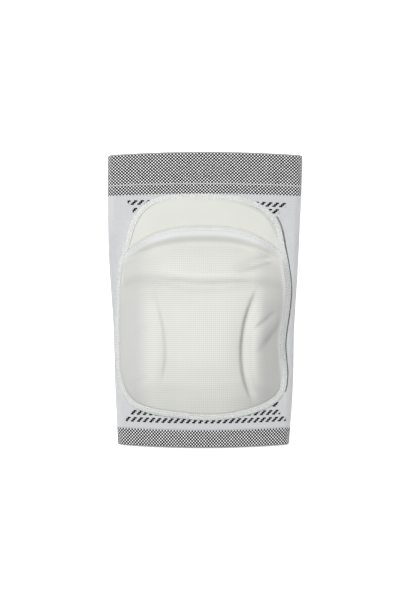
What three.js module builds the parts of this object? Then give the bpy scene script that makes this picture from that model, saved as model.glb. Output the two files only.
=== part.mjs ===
// A volleyball knee pad, lying flat on its back with the pad facing up.
// Millimetres. +Y is the thigh end, +Z is up, and the origin is on the surface that it lies on.
import * as THREE from "three";

// Knitted tube
const overallLength = 240;
const thighWidth = 158.4;
const calfWidth = 139.4;
const tubeHeight = 18;
const archDrop = 2.6;
const foldReach = 6;
const endBow = 2.6;
const sleeveWall = 2;
const cuffWall = 2.6;
const thighCuffLength = 34;
const calfCuffLength = 14.3;
const cuffEdgeRoll = 0.8;

// Clearances between pieces
const pieceGap = 0.3;
const hemSeatGap = 0.5;
const padSideMargin = 3;
const padCalfMargin = 8.4;

// Stitched tapes
const tapeWidth = 4.8;
const tapeInnerThickness = 3.4;
const tapeOuterThickness = 1.2;

// Upper pad and hem
const upperPadShow = 27.2;
const upperPadThickness = 4.6;
const upperShoulderReach = 15;
const hemFall = 29;
const hemFallPower = 2.7;
const hemLap = 5;
const hemWidth = 13.1;
const hemEndNarrowing = 0.45;
const hemThickness = 3;
const hemUpperThickness = 1.2;
const hemLowerThickness = 0.8;
const hemFullShare = 0.5;

// Knee pad
const kneePadThickness = 19.5;
const shoulderReach = 27;
const shoulderPower = 0.95;
const valleyDepth = 2;
const valleyReach = 4.5;
const lobeRise = 26;
const lobePower = 1.3;
const ridgeBelowHem = 38.8;
const grooveBelowRidge = 8.7;
const crossGrooveDepth = 3.2;
const crossGrooveReach = 4.8;
const crossGrooveBend = 12;
const leftWaist = 28.2;
const rightWaist = 31.9;
const leftFlareUp = 10;
const leftFlareDown = 8;
const rightFlareUp = 11.2;
const rightFlareDown = 6.8;
const waistLean = -1;
const waistBelowHem = 101.3;
const waistSpanUp = 50;
const waistSpanDown = 35;
const waistGrooveReach = 3;
const leftGrooveDepth = 2.2;
const rightGrooveDepth = 4.2;
const wingStart = 30;
const leftWingFall = 1.5;
const rightWingFall = 6;
const creaseDepth = 3.2;
const creaseReach = 3.2;

// Finish
const knitColour = 0xd6d7da;
const checkColour = 0x989a9c;
const foamColour = 0xe6e7e1;
const meshColour = 0xe4e5df;
const tapeColour = 0xdfe1df;

// Places along the tube that everything else follows
const thighEnd = overallLength / 2;
const calfEnd = -overallLength / 2;
const thighCuffEdge = thighEnd - thighCuffLength;
const calfCuffEdge = calfEnd + calfCuffLength;
const padTop = thighCuffEdge - pieceGap;
const padBottom = calfCuffEdge + padCalfMargin;
const padMiddle = (padTop + padBottom) / 2;
const padHalfLength = (padTop - padBottom) / 2;
const hemPeak = padTop - upperPadShow;
const ridgeLine = hemPeak - ridgeBelowHem;
const waistLine = hemPeak - waistBelowHem;

// Taper of the tube: along is a share of the length from the calf end, spread goes from the calf
// width at 0 to the thigh width at 1, and lean moves the middle by a share of the half width.
const tubeRows = [
  { along: 0.0, spread: 0.0, lean: -0.011 },
  { along: 0.14, spread: 0.21, lean: -0.004 },
  { along: 0.25, spread: 0.33, lean: -0.004 },
  { along: 0.38, spread: 0.39, lean: -0.005 },
  { along: 0.48, spread: 0.53, lean: -0.006 },
  { along: 0.58, spread: 0.7, lean: -0.007 },
  { along: 0.68, spread: 0.83, lean: -0.007 },
  { along: 0.82, spread: 0.94, lean: -0.001 },
  { along: 1.0, spread: 1.0, lean: 0.008 },
];

// Outer edge of the tapes, clockwise from the top middle: across and along are shares of the
// pad's half width and half length, from its middle.
const outlineRows = [
  { across: 0.01, along: 1.0 },
  { across: 0.3, along: 0.99 },
  { across: 0.52, along: 0.957 },
  { across: 0.677, along: 0.9 },
  { across: 0.797, along: 0.82 },
  { across: 0.871, along: 0.715 },
  { across: 0.93, along: 0.49 },
  { across: 0.985, along: 0.19 },
  { across: 0.968, along: -0.02 },
  { across: 0.92, along: -0.32 },
  { across: 0.942, along: -0.6 },
  { across: 0.92, along: -0.735 },
  { across: 0.845, along: -0.826 },
  { across: 0.66, along: -0.912 },
  { across: 0.3, along: -0.987 },
  { across: 0.0, along: -1.0 },
  { across: -0.33, along: -0.975 },
  { across: -0.6, along: -0.942 },
  { across: -0.8, along: -0.88 },
  { across: -0.912, along: -0.784 },
  { across: -0.98, along: -0.63 },
  { across: -1.003, along: -0.36 },
  { across: -0.997, along: 0.06 },
  { across: -0.97, along: 0.36 },
  { across: -0.889, along: 0.61 },
  { across: -0.83, along: 0.755 },
  { across: -0.72, along: 0.885 },
  { across: -0.57, along: 0.963 },
  { across: -0.33, along: 0.997 },
];

// Crown of the knee pad: along as above, crown is a share of the knee pad's thickness.
const crownRows = [
  { along: -1.0, crown: 0.58 },
  { along: -0.76, crown: 0.775 },
  { along: -0.59, crown: 0.89 },
  { along: -0.43, crown: 0.965 },
  { along: -0.21, crown: 0.99 },
  { along: 0.01, crown: 0.93 },
  { along: 0.28, crown: 0.8 },
  { along: 1.0, crown: 0.72 },
];

// Soft creases of the knee pad, each from one end to the other, as shares like the outline's,
// with depth as a share of the crease depth.
const creaseRows = [
  { across: 0.83, along: 0.43, toAcross: 0.32, toAlong: 0.305, depth: 1.0 },
  { across: 0.82, along: -0.035, toAcross: 0.53, toAlong: -0.225, depth: 0.7 },
  { across: 0.93, along: -0.1, toAcross: 0.61, toAlong: -0.42, depth: 1.4 },
];

// Where the right wing is pressed down, across from the middle and along as above.
const pressedWing = { over: 20, below: 0.2, ease: 0.25 };

// Where the grooves fade out, as shares of the pad's half width and of the waist's spans.
const crossGrooveFade = { from: 0.72, over: 0.2 };
const waistFade = { from: 0.75, over: 0.35 };

// Corners of the two pads, as shares of the seam round each, from either end.
const upperPadCorner = 0.3;
const kneePadCorner = 0.34;

// Counts of faces
const frontSteps = 16;
const foldSteps = 5;
const backSteps = 8;
const sleeveRows = 8;
const cuffRows = 2;
const outlineSteps = 116;
const kneePadGrid = 30;
const upperPadGridAcross = 20;
const upperPadGridAlong = 8;
const hemGridAcross = 36;
const hemGridAlong = 6;

function clamp01(value) {
  return Math.min(1, Math.max(0, value));
}

function mix(from, to, share) {
  return from + (to - from) * share;
}

function smooth(value) {
  const share = clamp01(value);
  return share * share * (3 - 2 * share);
}

// A smooth value of one column at a place along a table.
function follow(rows, along, column) {
  let index = 0;
  while (index < rows.length - 2 && along > rows[index + 1].along) {
    index += 1;
  }
  const before = rows[Math.max(0, index - 1)][column];
  const start = rows[index][column];
  const end = rows[index + 1][column];
  const after = rows[Math.min(rows.length - 1, index + 2)][column];
  const t = clamp01((along - rows[index].along) / (rows[index + 1].along - rows[index].along));
  const pull = 0.5 * (end - before);
  const push = 0.5 * (after - start);
  const cubic = (2 * t ** 3 - 3 * t ** 2 + 1) * start + (3 * t ** 2 - 2 * t ** 3) * end;
  return cubic + (t ** 3 - 2 * t ** 2 + t) * pull + (t ** 3 - t ** 2) * push;
}

// Tube: its half width, middle and upper face at a place
function tubeHalfWidth(y) {
  const spread = follow(tubeRows, y / overallLength + 0.5, "spread");
  return mix(calfWidth, thighWidth, spread) / 2;
}

function tubeMiddle(y) {
  return follow(tubeRows, y / overallLength + 0.5, "lean") * tubeHalfWidth(y);
}

function tubeTop(x, y) {
  const share = (x - tubeMiddle(y)) / tubeHalfWidth(y);
  return tubeHeight - archDrop * share ** 2;
}

// One loop round the tube, inset from its outer face: front left to right, fold, back, fold.
function tubeLoop(y, inset) {
  const half = tubeHalfWidth(y);
  const flat = half - foldReach;
  const edgeTop = tubeHeight - archDrop * (flat / half) ** 2 - inset;
  const foldMiddle = (edgeTop + inset) / 2;
  const foldHeight = (edgeTop - inset) / 2;
  const reach = foldReach - inset;
  const loop = [];
  for (let step = 0; step <= frontSteps; step += 1) {
    const x = mix(-flat, flat, step / frontSteps);
    loop.push([x, tubeHeight - archDrop * (x / half) ** 2 - inset]);
  }
  for (let step = 1; step < foldSteps * 2; step += 1) {
    const angle = Math.PI * (0.5 - step / (foldSteps * 2));
    loop.push([flat + reach * Math.cos(angle), foldMiddle + foldHeight * Math.sin(angle)]);
  }
  for (let step = 0; step <= backSteps; step += 1) {
    loop.push([mix(flat, -flat, step / backSteps), inset]);
  }
  for (let step = 1; step < foldSteps * 2; step += 1) {
    const angle = -Math.PI * (0.5 + step / (foldSteps * 2));
    loop.push([-flat + reach * Math.cos(angle), foldMiddle + foldHeight * Math.sin(angle)]);
  }
  const bow = endBow * (y / thighEnd);
  return loop.map(([x, z]) => [x + tubeMiddle(y), y - bow * (x / half) ** 2, z]);
}

// A closed solid from loops of equal length that follow each other round a section.
function solidFromLoops(loops, closed) {
  const count = loops[0].length;
  const vertices = loops.flat(2);
  const faces = [];
  const last = closed ? loops.length : loops.length - 1;
  for (let row = 0; row < last; row += 1) {
    const here = row * count;
    const next = ((row + 1) % loops.length) * count;
    for (let index = 0; index < count; index += 1) {
      const beside = (index + 1) % count;
      faces.push(here + index, here + beside, next + beside);
      faces.push(here + index, next + beside, next + index);
    }
  }
  return geometryFrom(vertices, faces);
}

// A closed geometry with its faces turned outwards, whichever way they were listed.
function geometryFrom(vertices, faces) {
  let volume = 0;
  const corner = (index) => new THREE.Vector3(...vertices.slice(index * 3, index * 3 + 3));
  for (let face = 0; face < faces.length; face += 3) {
    const [a, b, c] = [corner(faces[face]), corner(faces[face + 1]), corner(faces[face + 2])];
    volume += a.dot(b.cross(c));
  }
  if (volume < 0) {
    for (let face = 0; face < faces.length; face += 3) {
      [faces[face + 1], faces[face + 2]] = [faces[face + 2], faces[face + 1]];
    }
  }
  const geometry = new THREE.BufferGeometry();
  geometry.setAttribute("position", new THREE.Float32BufferAttribute(vertices, 3));
  geometry.setIndex(faces);
  geometry.computeVertexNormals();
  return geometry;
}

// A stretch of the tube, open right through, with a rolled edge where it ends the sleeve.
function tubeStretch(from, to, wall, rows, rollFrom, rollTo) {
  const loops = [];
  for (let row = 0; row <= rows; row += 1) {
    loops.push(tubeLoop(mix(from + rollFrom, to - rollTo, row / rows), 0));
  }
  if (rollTo > 0) {
    loops.push(tubeLoop(to, wall / 2));
  }
  for (let row = rows; row >= 0; row -= 1) {
    loops.push(tubeLoop(mix(from + rollFrom, to - rollTo, row / rows), wall));
  }
  if (rollFrom > 0) {
    loops.push(tubeLoop(from, wall / 2));
  }
  return solidFromLoops(loops, true);
}

// Pad: its outline, seams and upper face
const padHalfWidth = tubeHalfWidth(padMiddle) - padSideMargin;

function padPoint(across, along) {
  return [tubeMiddle(padMiddle) + across * padHalfWidth, padMiddle + along * padHalfLength];
}

const outlineCurve = new THREE.CatmullRomCurve3(
  outlineRows.map((row) => new THREE.Vector3(...padPoint(row.across, row.along), 0)),
  true,
  "centripetal",
);

// The outline moved inwards by a distance, as points in order round the pad.
function outlineInset(distance) {
  const points = [];
  for (let step = 0; step < outlineSteps; step += 1) {
    const share = step / outlineSteps;
    const place = outlineCurve.getPointAt(share);
    const heading = outlineCurve.getTangentAt(share);
    points.push([place.x + heading.y * distance, place.y - heading.x * distance]);
  }
  return points;
}

const outerEdge = outlineInset(0);
const tapeInner = outlineInset(tapeWidth);
const seam = outlineInset(tapeWidth + pieceGap);

function distanceToSegment(x, y, start, end) {
  const run = [end[0] - start[0], end[1] - start[1]];
  const length = run[0] ** 2 + run[1] ** 2;
  const share = clamp01(((x - start[0]) * run[0] + (y - start[1]) * run[1]) / length);
  return Math.hypot(x - start[0] - share * run[0], y - start[1] - share * run[1]);
}

// How far a point lies inside the seam, and 0 outside it.
function distanceInsideSeam(x, y) {
  let nearest = Infinity;
  let isInside = false;
  for (let index = 0; index < seam.length; index += 1) {
    const here = seam[index];
    const next = seam[(index + 1) % seam.length];
    nearest = Math.min(nearest, distanceToSegment(x, y, here, next));
    const spansRow = here[1] > y !== next[1] > y;
    if (spansRow && x < mix(here[0], next[0], (y - here[1]) / (next[1] - here[1]))) {
      isInside = !isInside;
    }
  }
  return isInside ? nearest : 0;
}

function hemEdge(x) {
  const share = Math.abs(x - tubeMiddle(padMiddle)) / padHalfWidth;
  return hemPeak - hemFall * share ** hemFallPower;
}

function padBase(x, y) {
  return tubeTop(x, y) + pieceGap;
}

// A rounded shoulder, from 0 at the seam to 1 at its full reach.
function shoulder(distance, reach) {
  return Math.sin((Math.PI / 2) * clamp01(distance / reach)) ** shoulderPower;
}

function trough(distance, reach) {
  return Math.exp(-((distance / reach) ** 2));
}

// The two grooves that waist the middle block of the knee pad.
function waistGrooves(x, y) {
  const above = y - waistLine;
  const span = above > 0 ? waistSpanUp : waistSpanDown;
  const swing = (above / span) ** 2;
  const leftEdge = leftWaist + (above > 0 ? leftFlareUp : leftFlareDown) * swing;
  const rightEdge = rightWaist + (above > 0 ? rightFlareUp : rightFlareDown) * swing;
  const fade = 1 - smooth((Math.abs(above) / span - waistFade.from) / waistFade.over);
  const middle = tubeMiddle(padMiddle) + waistLean;
  const left = leftGrooveDepth * trough(x - middle + leftEdge, waistGrooveReach);
  const right = rightGrooveDepth * trough(x - middle - rightEdge, waistGrooveReach);
  return (left + right) * fade;
}

// The groove that crosses the pad below the ridge, bending down towards its ends.
function crossGroove(x, y) {
  const share = (x - tubeMiddle(padMiddle)) / padHalfWidth;
  const line = ridgeLine - grooveBelowRidge - crossGrooveBend * share ** 8;
  const fade = 1 - smooth((Math.abs(share) - crossGrooveFade.from) / crossGrooveFade.over);
  return crossGrooveDepth * trough(y - line, crossGrooveReach) * fade;
}

function creases(x, y) {
  let depth = 0;
  for (const row of creaseRows) {
    const start = padPoint(row.across, row.along);
    const end = padPoint(row.toAcross, row.toAlong);
    depth += creaseDepth * row.depth * trough(distanceToSegment(x, y, start, end), creaseReach);
  }
  return depth;
}

// Height of the foam above the sleeve: the thin upper pad, then a valley at the hem's lower
// edge, the lobe that rises from there to the ridge, and the crowned body with its wings,
// grooves and creases. At the seam it is as thin as the tape's inner edge.
function foamHeight(x, y) {
  const along = (y - padMiddle) / padHalfLength;
  const below = hemEdge(x) - y - hemWidth;
  const rise = clamp01(below / lobeRise) ** lobePower;
  const wing = clamp01((Math.abs(x) - wingStart) / (padHalfWidth - wingStart));
  const rightShare = smooth((x - tubeMiddle(padMiddle)) / pressedWing.over);
  const pressed = rightShare * smooth((pressedWing.below - along) / pressedWing.ease);
  const wingFall = mix(leftWingFall, rightWingFall, pressed);
  const crown = follow(crownRows, along, "crown") * kneePadThickness - wingFall * wing ** 2;
  const carved = waistGrooves(x, y) + crossGroove(x, y);
  const valley = valleyDepth * trough(below, valleyReach);
  const body = mix(upperPadThickness, crown - carved, rise) - valley - creases(x, y);
  const reach = mix(upperShoulderReach, shoulderReach, rise);
  return mix(tapeInnerThickness, body, shoulder(distanceInsideSeam(x, y), reach));
}

// The places on a loop, as counts of points from its first, that lie above or below a line,
// with the two places where the loop crosses the line at the ends.
function placesBeside(loop, lineOf, wantAbove) {
  const count = loop.length;
  const aboveLine = (index) => loop[index % count][1] - lineOf(loop[index % count][0]);
  const isWanted = (index) => aboveLine(index) > 0 === wantAbove;
  const crossing = (index) => index + aboveLine(index) / (aboveLine(index) - aboveLine(index + 1));
  let index = 0;
  while (isWanted(index) || !isWanted(index + 1)) {
    index += 1;
  }
  const places = [crossing(index)];
  while (isWanted(index + 1)) {
    index += 1;
    places.push(index);
  }
  places.push(crossing(index));
  return places;
}

function loopPoint(loop, place) {
  const here = loop[Math.floor(place) % loop.length];
  const next = loop[(Math.floor(place) + 1) % loop.length];
  return [0, 1].map((axis) => mix(here[axis], next[axis], place % 1));
}

function stretchBeside(loop, lineOf, wantAbove) {
  return placesBeside(loop, lineOf, wantAbove).map((place) => loopPoint(loop, place));
}

// A point at a share of a broken line's length, from the line's start.
function pointAlong(points, share) {
  const lengths = [0];
  for (let index = 1; index < points.length; index += 1) {
    const [a, b] = [points[index - 1], points[index]];
    lengths.push(lengths[index - 1] + Math.hypot(b[0] - a[0], b[1] - a[1]));
  }
  const wanted = clamp01(share) * lengths[lengths.length - 1];
  let index = 1;
  while (index < points.length - 1 && lengths[index] < wanted) {
    index += 1;
  }
  const part = (wanted - lengths[index - 1]) / (lengths[index] - lengths[index - 1]);
  const [a, b] = [points[index - 1], points[index]];
  return [mix(a[0], b[0], part), mix(a[1], b[1], part)];
}

// A grid of points inside four sides, which meet at their ends. Each side is a function of a
// share from 0 to 1: near and far run across, left and right run from near to far.
function patch(near, far, left, right, across, along) {
  const rows = [];
  const ease = (share) => mix(share, 0.5 - 0.5 * Math.cos(Math.PI * share), 0.5);
  for (let row = 0; row <= along; row += 1) {
    const v = ease(row / along);
    const line = [];
    for (let column = 0; column <= across; column += 1) {
      const u = ease(column / across);
      const point = [0, 1].map((axis) => {
        const sides = mix(near(u)[axis], far(u)[axis], v) + mix(left(v)[axis], right(v)[axis], u);
        const nearEnds = mix(near(0)[axis], near(1)[axis], u);
        const farEnds = mix(far(0)[axis], far(1)[axis], u);
        return sides - mix(nearEnds, farEnds, v);
      });
      line.push(point);
    }
    rows.push(line);
  }
  return rows;
}

// A closed slab over a grid of points, between two heights. Each height is a function of the
// place and of the share of the rows passed.
function slab(grid, bottomOf, topOf) {
  const rows = grid.length;
  const columns = grid[0].length;
  const vertices = [];
  for (const heightOf of [topOf, bottomOf]) {
    grid.forEach((line, row) => {
      for (const [x, y] of line) {
        vertices.push(x, y, heightOf(x, y, row / (rows - 1)));
      }
    });
  }
  const at = (row, column) => row * columns + column;
  const under = rows * columns;
  const faces = [];
  for (let row = 0; row < rows - 1; row += 1) {
    for (let column = 0; column < columns - 1; column += 1) {
      const [a, b] = [at(row, column), at(row, column + 1)];
      const [c, d] = [at(row + 1, column + 1), at(row + 1, column)];
      faces.push(a, b, c, a, c, d);
      faces.push(under + a, under + c, under + b, under + a, under + d, under + c);
    }
  }
  const rim = [];
  for (let column = 0; column < columns - 1; column += 1) {
    rim.push(at(0, column));
  }
  for (let row = 0; row < rows - 1; row += 1) {
    rim.push(at(row, columns - 1));
  }
  for (let column = columns - 1; column > 0; column -= 1) {
    rim.push(at(rows - 1, column));
  }
  for (let row = rows - 1; row > 0; row -= 1) {
    rim.push(at(row, 0));
  }
  rim.forEach((here, index) => {
    const next = rim[(index + 1) % rim.length];
    faces.push(here, under + here, under + next, here, under + next, next);
  });
  return geometryFrom(vertices, faces);
}

function foamTop(x, y) {
  return padBase(x, y) + foamHeight(x, y);
}

// Where the upper pad and the knee pad meet under the hem.
function jointLine(x) {
  return hemEdge(x) - hemLap;
}

// The upper pad: its near side is the joint, and the seam is its left, far and right sides.
function upperPad() {
  const line = (x) => jointLine(x) + pieceGap / 2;
  const rim = stretchBeside(seam, line, true);
  const [start, end] = [rim[0], rim[rim.length - 1]];
  const near = (u) => {
    const x = mix(start[0], end[0], u);
    return [x, u <= 0 ? start[1] : u >= 1 ? end[1] : line(x)];
  };
  const far = (u) => pointAlong(rim, mix(upperPadCorner, 1 - upperPadCorner, u));
  const left = (v) => pointAlong(rim, upperPadCorner * v);
  const right = (v) => pointAlong(rim, 1 - upperPadCorner * v);
  return slab(patch(near, far, left, right, upperPadGridAcross, upperPadGridAlong), padBase, foamTop);
}

// The knee pad: its far side is the joint, and the seam is its right, near and left sides.
function kneePad() {
  const line = (x) => jointLine(x) - pieceGap / 2;
  const rim = stretchBeside(seam, line, false);
  const [start, end] = [rim[rim.length - 1], rim[0]];
  const far = (u) => {
    const x = mix(start[0], end[0], u);
    return [x, u <= 0 ? start[1] : u >= 1 ? end[1] : line(x)];
  };
  const near = (u) => pointAlong(rim, mix(1 - kneePadCorner, kneePadCorner, u));
  const left = (v) => pointAlong(rim, mix(1 - kneePadCorner, 1, v));
  const right = (v) => pointAlong(rim, kneePadCorner * (1 - v));
  return slab(patch(near, far, left, right, kneePadGrid, kneePadGrid), padBase, foamTop);
}

// The hem: a band along the top edge of the knee pad, thickest in its middle and narrower
// towards its ends, that runs out over the tapes on both sides.
const hemSpan = stretchBeside(outerEdge, hemEdge, true);
const hemStart = hemSpan[0];
const hemEnd = hemSpan[hemSpan.length - 1];

function hemWidthAt(x) {
  const middle = tubeMiddle(padMiddle);
  const share = clamp01(Math.abs(x - middle) / (hemEnd[0] - middle));
  return hemWidth * (1 - hemEndNarrowing * share ** 3);
}

function hem() {
  const far = (u) => {
    const x = mix(hemStart[0] + pieceGap, hemEnd[0] - pieceGap, u);
    return [x, hemEdge(x)];
  };
  const near = (u) => [far(u)[0], far(u)[1] - hemWidthAt(far(u)[0])];
  const left = (v) => [far(0)[0], mix(near(0)[1], far(0)[1], v)];
  const right = (v) => [far(1)[0], mix(near(1)[1], far(1)[1], v)];
  const under = (x, y) => foamTop(x, y) + hemSeatGap;
  const over = (x, y) => {
    const share = clamp01((hemEdge(x) - y) / hemWidthAt(x));
    const isUpper = share < hemFullShare;
    const full = isUpper ? smooth(share / hemFullShare) : smooth((1 - share) / (1 - hemFullShare));
    return under(x, y) + mix(isUpper ? hemUpperThickness : hemLowerThickness, hemThickness, full);
  };
  return slab(patch(near, far, left, right, hemGridAcross, hemGridAlong), under, over);
}

// A tape over the stretch of the outline above or below the level where the two tapes meet,
// from the outer edge to the foam.
function tape(wantAbove) {
  const joint = (hemStart[1] + hemEnd[1] - hemWidth) / 2;
  const level = joint + (wantAbove ? pieceGap : -pieceGap) / 2;
  const places = placesBeside(outerEdge, () => level, wantAbove);
  const lineAt = (share) =>
    places.map((place) => {
      const [outer, inner] = [loopPoint(outerEdge, place), loopPoint(tapeInner, place)];
      return [0, 1].map((axis) => mix(inner[axis], outer[axis], share));
    });
  const grid = [lineAt(0), lineAt(0.5), lineAt(1)];
  const top = (x, y, share) => padBase(x, y) + mix(tapeInnerThickness, tapeOuterThickness, share);
  return slab(grid, padBase, top);
}

function meshOf(name, geometry, colour, roughness) {
  const material = new THREE.MeshStandardMaterial({ color: colour, roughness, metalness: 0 });
  const mesh = new THREE.Mesh(geometry, material);
  mesh.name = name;
  return mesh;
}

const halfGap = pieceGap / 2;
const kneePadModel = new THREE.Group();
kneePadModel.add(
  meshOf(
    "thigh_cuff",
    tubeStretch(thighCuffEdge + halfGap, thighEnd, cuffWall, cuffRows, 0, cuffEdgeRoll),
    checkColour,
    0.95,
  ),
  meshOf(
    "sleeve",
    tubeStretch(calfCuffEdge + halfGap, thighCuffEdge - halfGap, sleeveWall, sleeveRows, 0, 0),
    knitColour,
    0.95,
  ),
  meshOf(
    "calf_cuff",
    tubeStretch(calfEnd, calfCuffEdge - halfGap, cuffWall, cuffRows, cuffEdgeRoll, 0),
    checkColour,
    0.95,
  ),
  meshOf("upper_pad", upperPad(), foamColour, 0.85),
  meshOf("upper_pad_tape", tape(true), tapeColour, 0.9),
  meshOf("knee_pad", kneePad(), meshColour, 0.9),
  meshOf("knee_pad_tape", tape(false), tapeColour, 0.9),
  meshOf("knee_pad_hem", hem(), tapeColour, 0.9),
);

export default kneePadModel;
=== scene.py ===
import math
import bpy
import numpy as np
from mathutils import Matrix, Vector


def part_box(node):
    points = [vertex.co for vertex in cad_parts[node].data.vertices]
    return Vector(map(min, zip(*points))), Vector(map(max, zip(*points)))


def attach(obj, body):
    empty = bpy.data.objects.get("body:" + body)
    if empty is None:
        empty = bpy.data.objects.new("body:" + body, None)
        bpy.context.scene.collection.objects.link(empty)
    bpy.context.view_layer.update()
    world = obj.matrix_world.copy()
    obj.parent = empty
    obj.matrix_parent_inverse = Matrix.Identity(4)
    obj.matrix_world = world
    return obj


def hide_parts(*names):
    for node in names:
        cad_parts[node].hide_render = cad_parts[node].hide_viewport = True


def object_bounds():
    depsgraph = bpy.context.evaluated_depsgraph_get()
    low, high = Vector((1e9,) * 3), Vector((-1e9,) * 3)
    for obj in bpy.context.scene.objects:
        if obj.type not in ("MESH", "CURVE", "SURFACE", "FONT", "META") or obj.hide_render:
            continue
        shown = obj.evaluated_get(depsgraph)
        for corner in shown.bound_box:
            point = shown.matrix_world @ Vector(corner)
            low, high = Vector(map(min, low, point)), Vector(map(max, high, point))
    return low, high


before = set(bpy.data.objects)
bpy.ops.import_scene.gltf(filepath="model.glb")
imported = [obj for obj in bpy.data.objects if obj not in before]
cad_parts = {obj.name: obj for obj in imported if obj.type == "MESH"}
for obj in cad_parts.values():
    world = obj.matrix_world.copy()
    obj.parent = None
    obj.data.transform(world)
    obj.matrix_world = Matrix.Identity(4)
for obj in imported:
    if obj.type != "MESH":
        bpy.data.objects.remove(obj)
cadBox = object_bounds()
mm = 0.001


def addObject(name, data):
    made = bpy.data.objects.new(name, data)
    bpy.context.collection.objects.link(made)
    return made


# Camera, straight above, framed as the photograph is
photoView = {
    "frame": (401, 601),  # pixels of the photograph
    "objectAt": (204.3, 299.9),  # pixel where the middle of the object lies
    "objectLength": 296.6,  # pixels from the calf end to the thigh end
    "lens": 100.0,
    "sensor": 36.0,
    "level": 16 * mm,  # height at which the scale holds
}


def placeCamera():
    low, high = cadBox
    perPixel = (high[1] - low[1]) / photoView["objectLength"]
    width, height = photoView["frame"]
    distance = perPixel * height * photoView["lens"] / photoView["sensor"]
    data = bpy.data.cameras.new("photoCamera")
    data.lens = photoView["lens"]
    data.sensor_width = photoView["sensor"]
    camera = addObject("photoCamera", data)
    acrossShift = (width / 2 - photoView["objectAt"][0]) * perPixel
    alongShift = (photoView["objectAt"][1] - height / 2) * perPixel
    camera.location = (acrossShift, alongShift, photoView["level"] + distance)
    bpy.context.scene.camera = camera


placeCamera()
print("camera placed")


# Places read from the frame, and shares that follow the photograph
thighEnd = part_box("thigh_cuff")[1][1]
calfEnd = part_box("calf_cuff")[0][1]
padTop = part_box("upper_pad_tape")[1][1]
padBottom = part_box("knee_pad_tape")[0][1]

tube = {
    "length": thighEnd - calfEnd,
    "thighWidth": 158.4 * mm,
    "calfWidth": 139.4 * mm,
    "height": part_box("sleeve")[1][2],
    "archDrop": 2.6 * mm,
    "foldReach": 6 * mm,
    "endBow": 2.6 * mm,
    "sleeveWall": 2 * mm,
    "cuffWall": 2.6 * mm,
    "roll": 1.3 * mm,  # how far the turned rims round off
    "thighCuff": 34 * mm,
    "calfCuff": 14.3 * mm,
    "wales": 248,  # stitches round the tube
    "thighCourse": 1.26 * mm,
    "calfCourse": 1.32 * mm,
    "frontSteps": 56,
    "foldSteps": 22,
    "backSteps": 30,
}

tubeRows = {
    "along": [0.0, 0.14, 0.25, 0.38, 0.48, 0.58, 0.68, 0.82, 1.0],
    "spread": [0.0, 0.21, 0.33, 0.39, 0.53, 0.7, 0.83, 0.94, 1.0],
    "lean": [-0.011, -0.004, -0.004, -0.005, -0.006, -0.007, -0.007, -0.001, 0.008],
}

outlineRows = {
    "across": [0.01, 0.3, 0.52, 0.677, 0.797, 0.871, 0.93, 0.985, 0.968, 0.92]
    + [0.942, 0.92, 0.845, 0.66, 0.3, 0.0, -0.33, -0.6, -0.8, -0.912]
    + [-0.98, -1.003, -0.997, -0.97, -0.889, -0.83, -0.72, -0.57, -0.33],
    "along": [1.0, 0.99, 0.957, 0.9, 0.82, 0.715, 0.49, 0.19, -0.02, -0.32]
    + [-0.6, -0.735, -0.826, -0.912, -0.987, -1.0, -0.975, -0.942, -0.88, -0.784]
    + [-0.63, -0.36, 0.06, 0.36, 0.61, 0.755, 0.885, 0.963, 0.997],
}

pad = {
    "gap": 0.3 * mm,
    "tapeWidth": 4.8 * mm,
    "tapeWiden": 1.3 * mm,  # more at the sides of the upper pad
    "widenBeside": (22 * mm, 22 * mm),  # from where and over what, out from the middle
    "widenAbove": (-24 * mm, 10 * mm),  # and up from the hem's peak
    "tapeThickness": 1.4 * mm,
    "tapeInner": 3.4 * mm,  # height of the tape's top beside the foam
    "tapeOuter": 1.2 * mm,  # and at its outer edge
    "upperShow": 27.2 * mm,
    "upperThickness": 4.6 * mm,
    "hemFall": 29 * mm,
    "hemFallPower": 2.7,
    "hemLap": 5 * mm,
    "hemWidth": 13.1 * mm,
    "thickness": 19.5 * mm,
    "upperShoulder": 15 * mm,
    "shoulder": 27 * mm,
    "fullPower": 0.95,
    "valley": 1.8 * mm,
    "valleyReach": 4.5 * mm,
    "valleyFade": (0.34, 0.46),  # shares of the half width where it starts to fade, and over which
    "valleyLeftLoss": 0.4,
    "valleyLeft": (0.25, 0.3),
    "lobeRise": 26 * mm,
    "lobePower": 1.3,
    "ridgeBelowHem": 38.8 * mm,
    "wingStart": 30 * mm,
    "leftWingFall": 1.5 * mm,
    "rightWingFall": 7 * mm,  # below the cross groove, where the foam is pressed down
    "pressedOver": 20 * mm,
    "pressedBelow": (-0.2, 0.25),
    "tuck": 0.6 * mm,  # how far the foam reaches under the tape
    "tuckDrop": 0.5 * mm,
    "uneven": 0.25 * mm,
    "unevenWave": 26 * mm,
    "seamDip": 0.55 * mm,  # the stitched line just inside the tape
    "seamDipIn": 0.7 * mm,
    "seamDipReach": 0.8 * mm,
    "seamAlong": (0.5, 0.25),
    "seamUp": 0.2,
    "seamRight": 40 * mm,
    "seamLeftLoss": 0.85,
    "contact": 0.9 * mm,  # how far the hem presses into the upper pad along its edge
    "contactAbove": 0.4 * mm,
    "contactReach": 0.75 * mm,
}

crownRows = {
    "along": [-1.0, -0.76, -0.59, -0.43, -0.21, 0.01, 0.28, 1.0],
    "crown": [0.58, 0.775, 0.89, 0.965, 0.99, 0.93, 0.8, 0.72],
}

crossGroove = {
    "belowRidge": 8.7 * mm,
    "depth": 3.2 * mm,
    "ridgeSide": 4.2 * mm,
    "blockSide": 5.5 * mm,
    "leftSwell": 5.2 * mm,  # how much higher it runs over the wings
    "rightSwell": 2.2 * mm,
    "bend": 12 * mm,
    "swellOver": 0.65,
    "fade": (0.84, 0.13),
}

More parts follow.
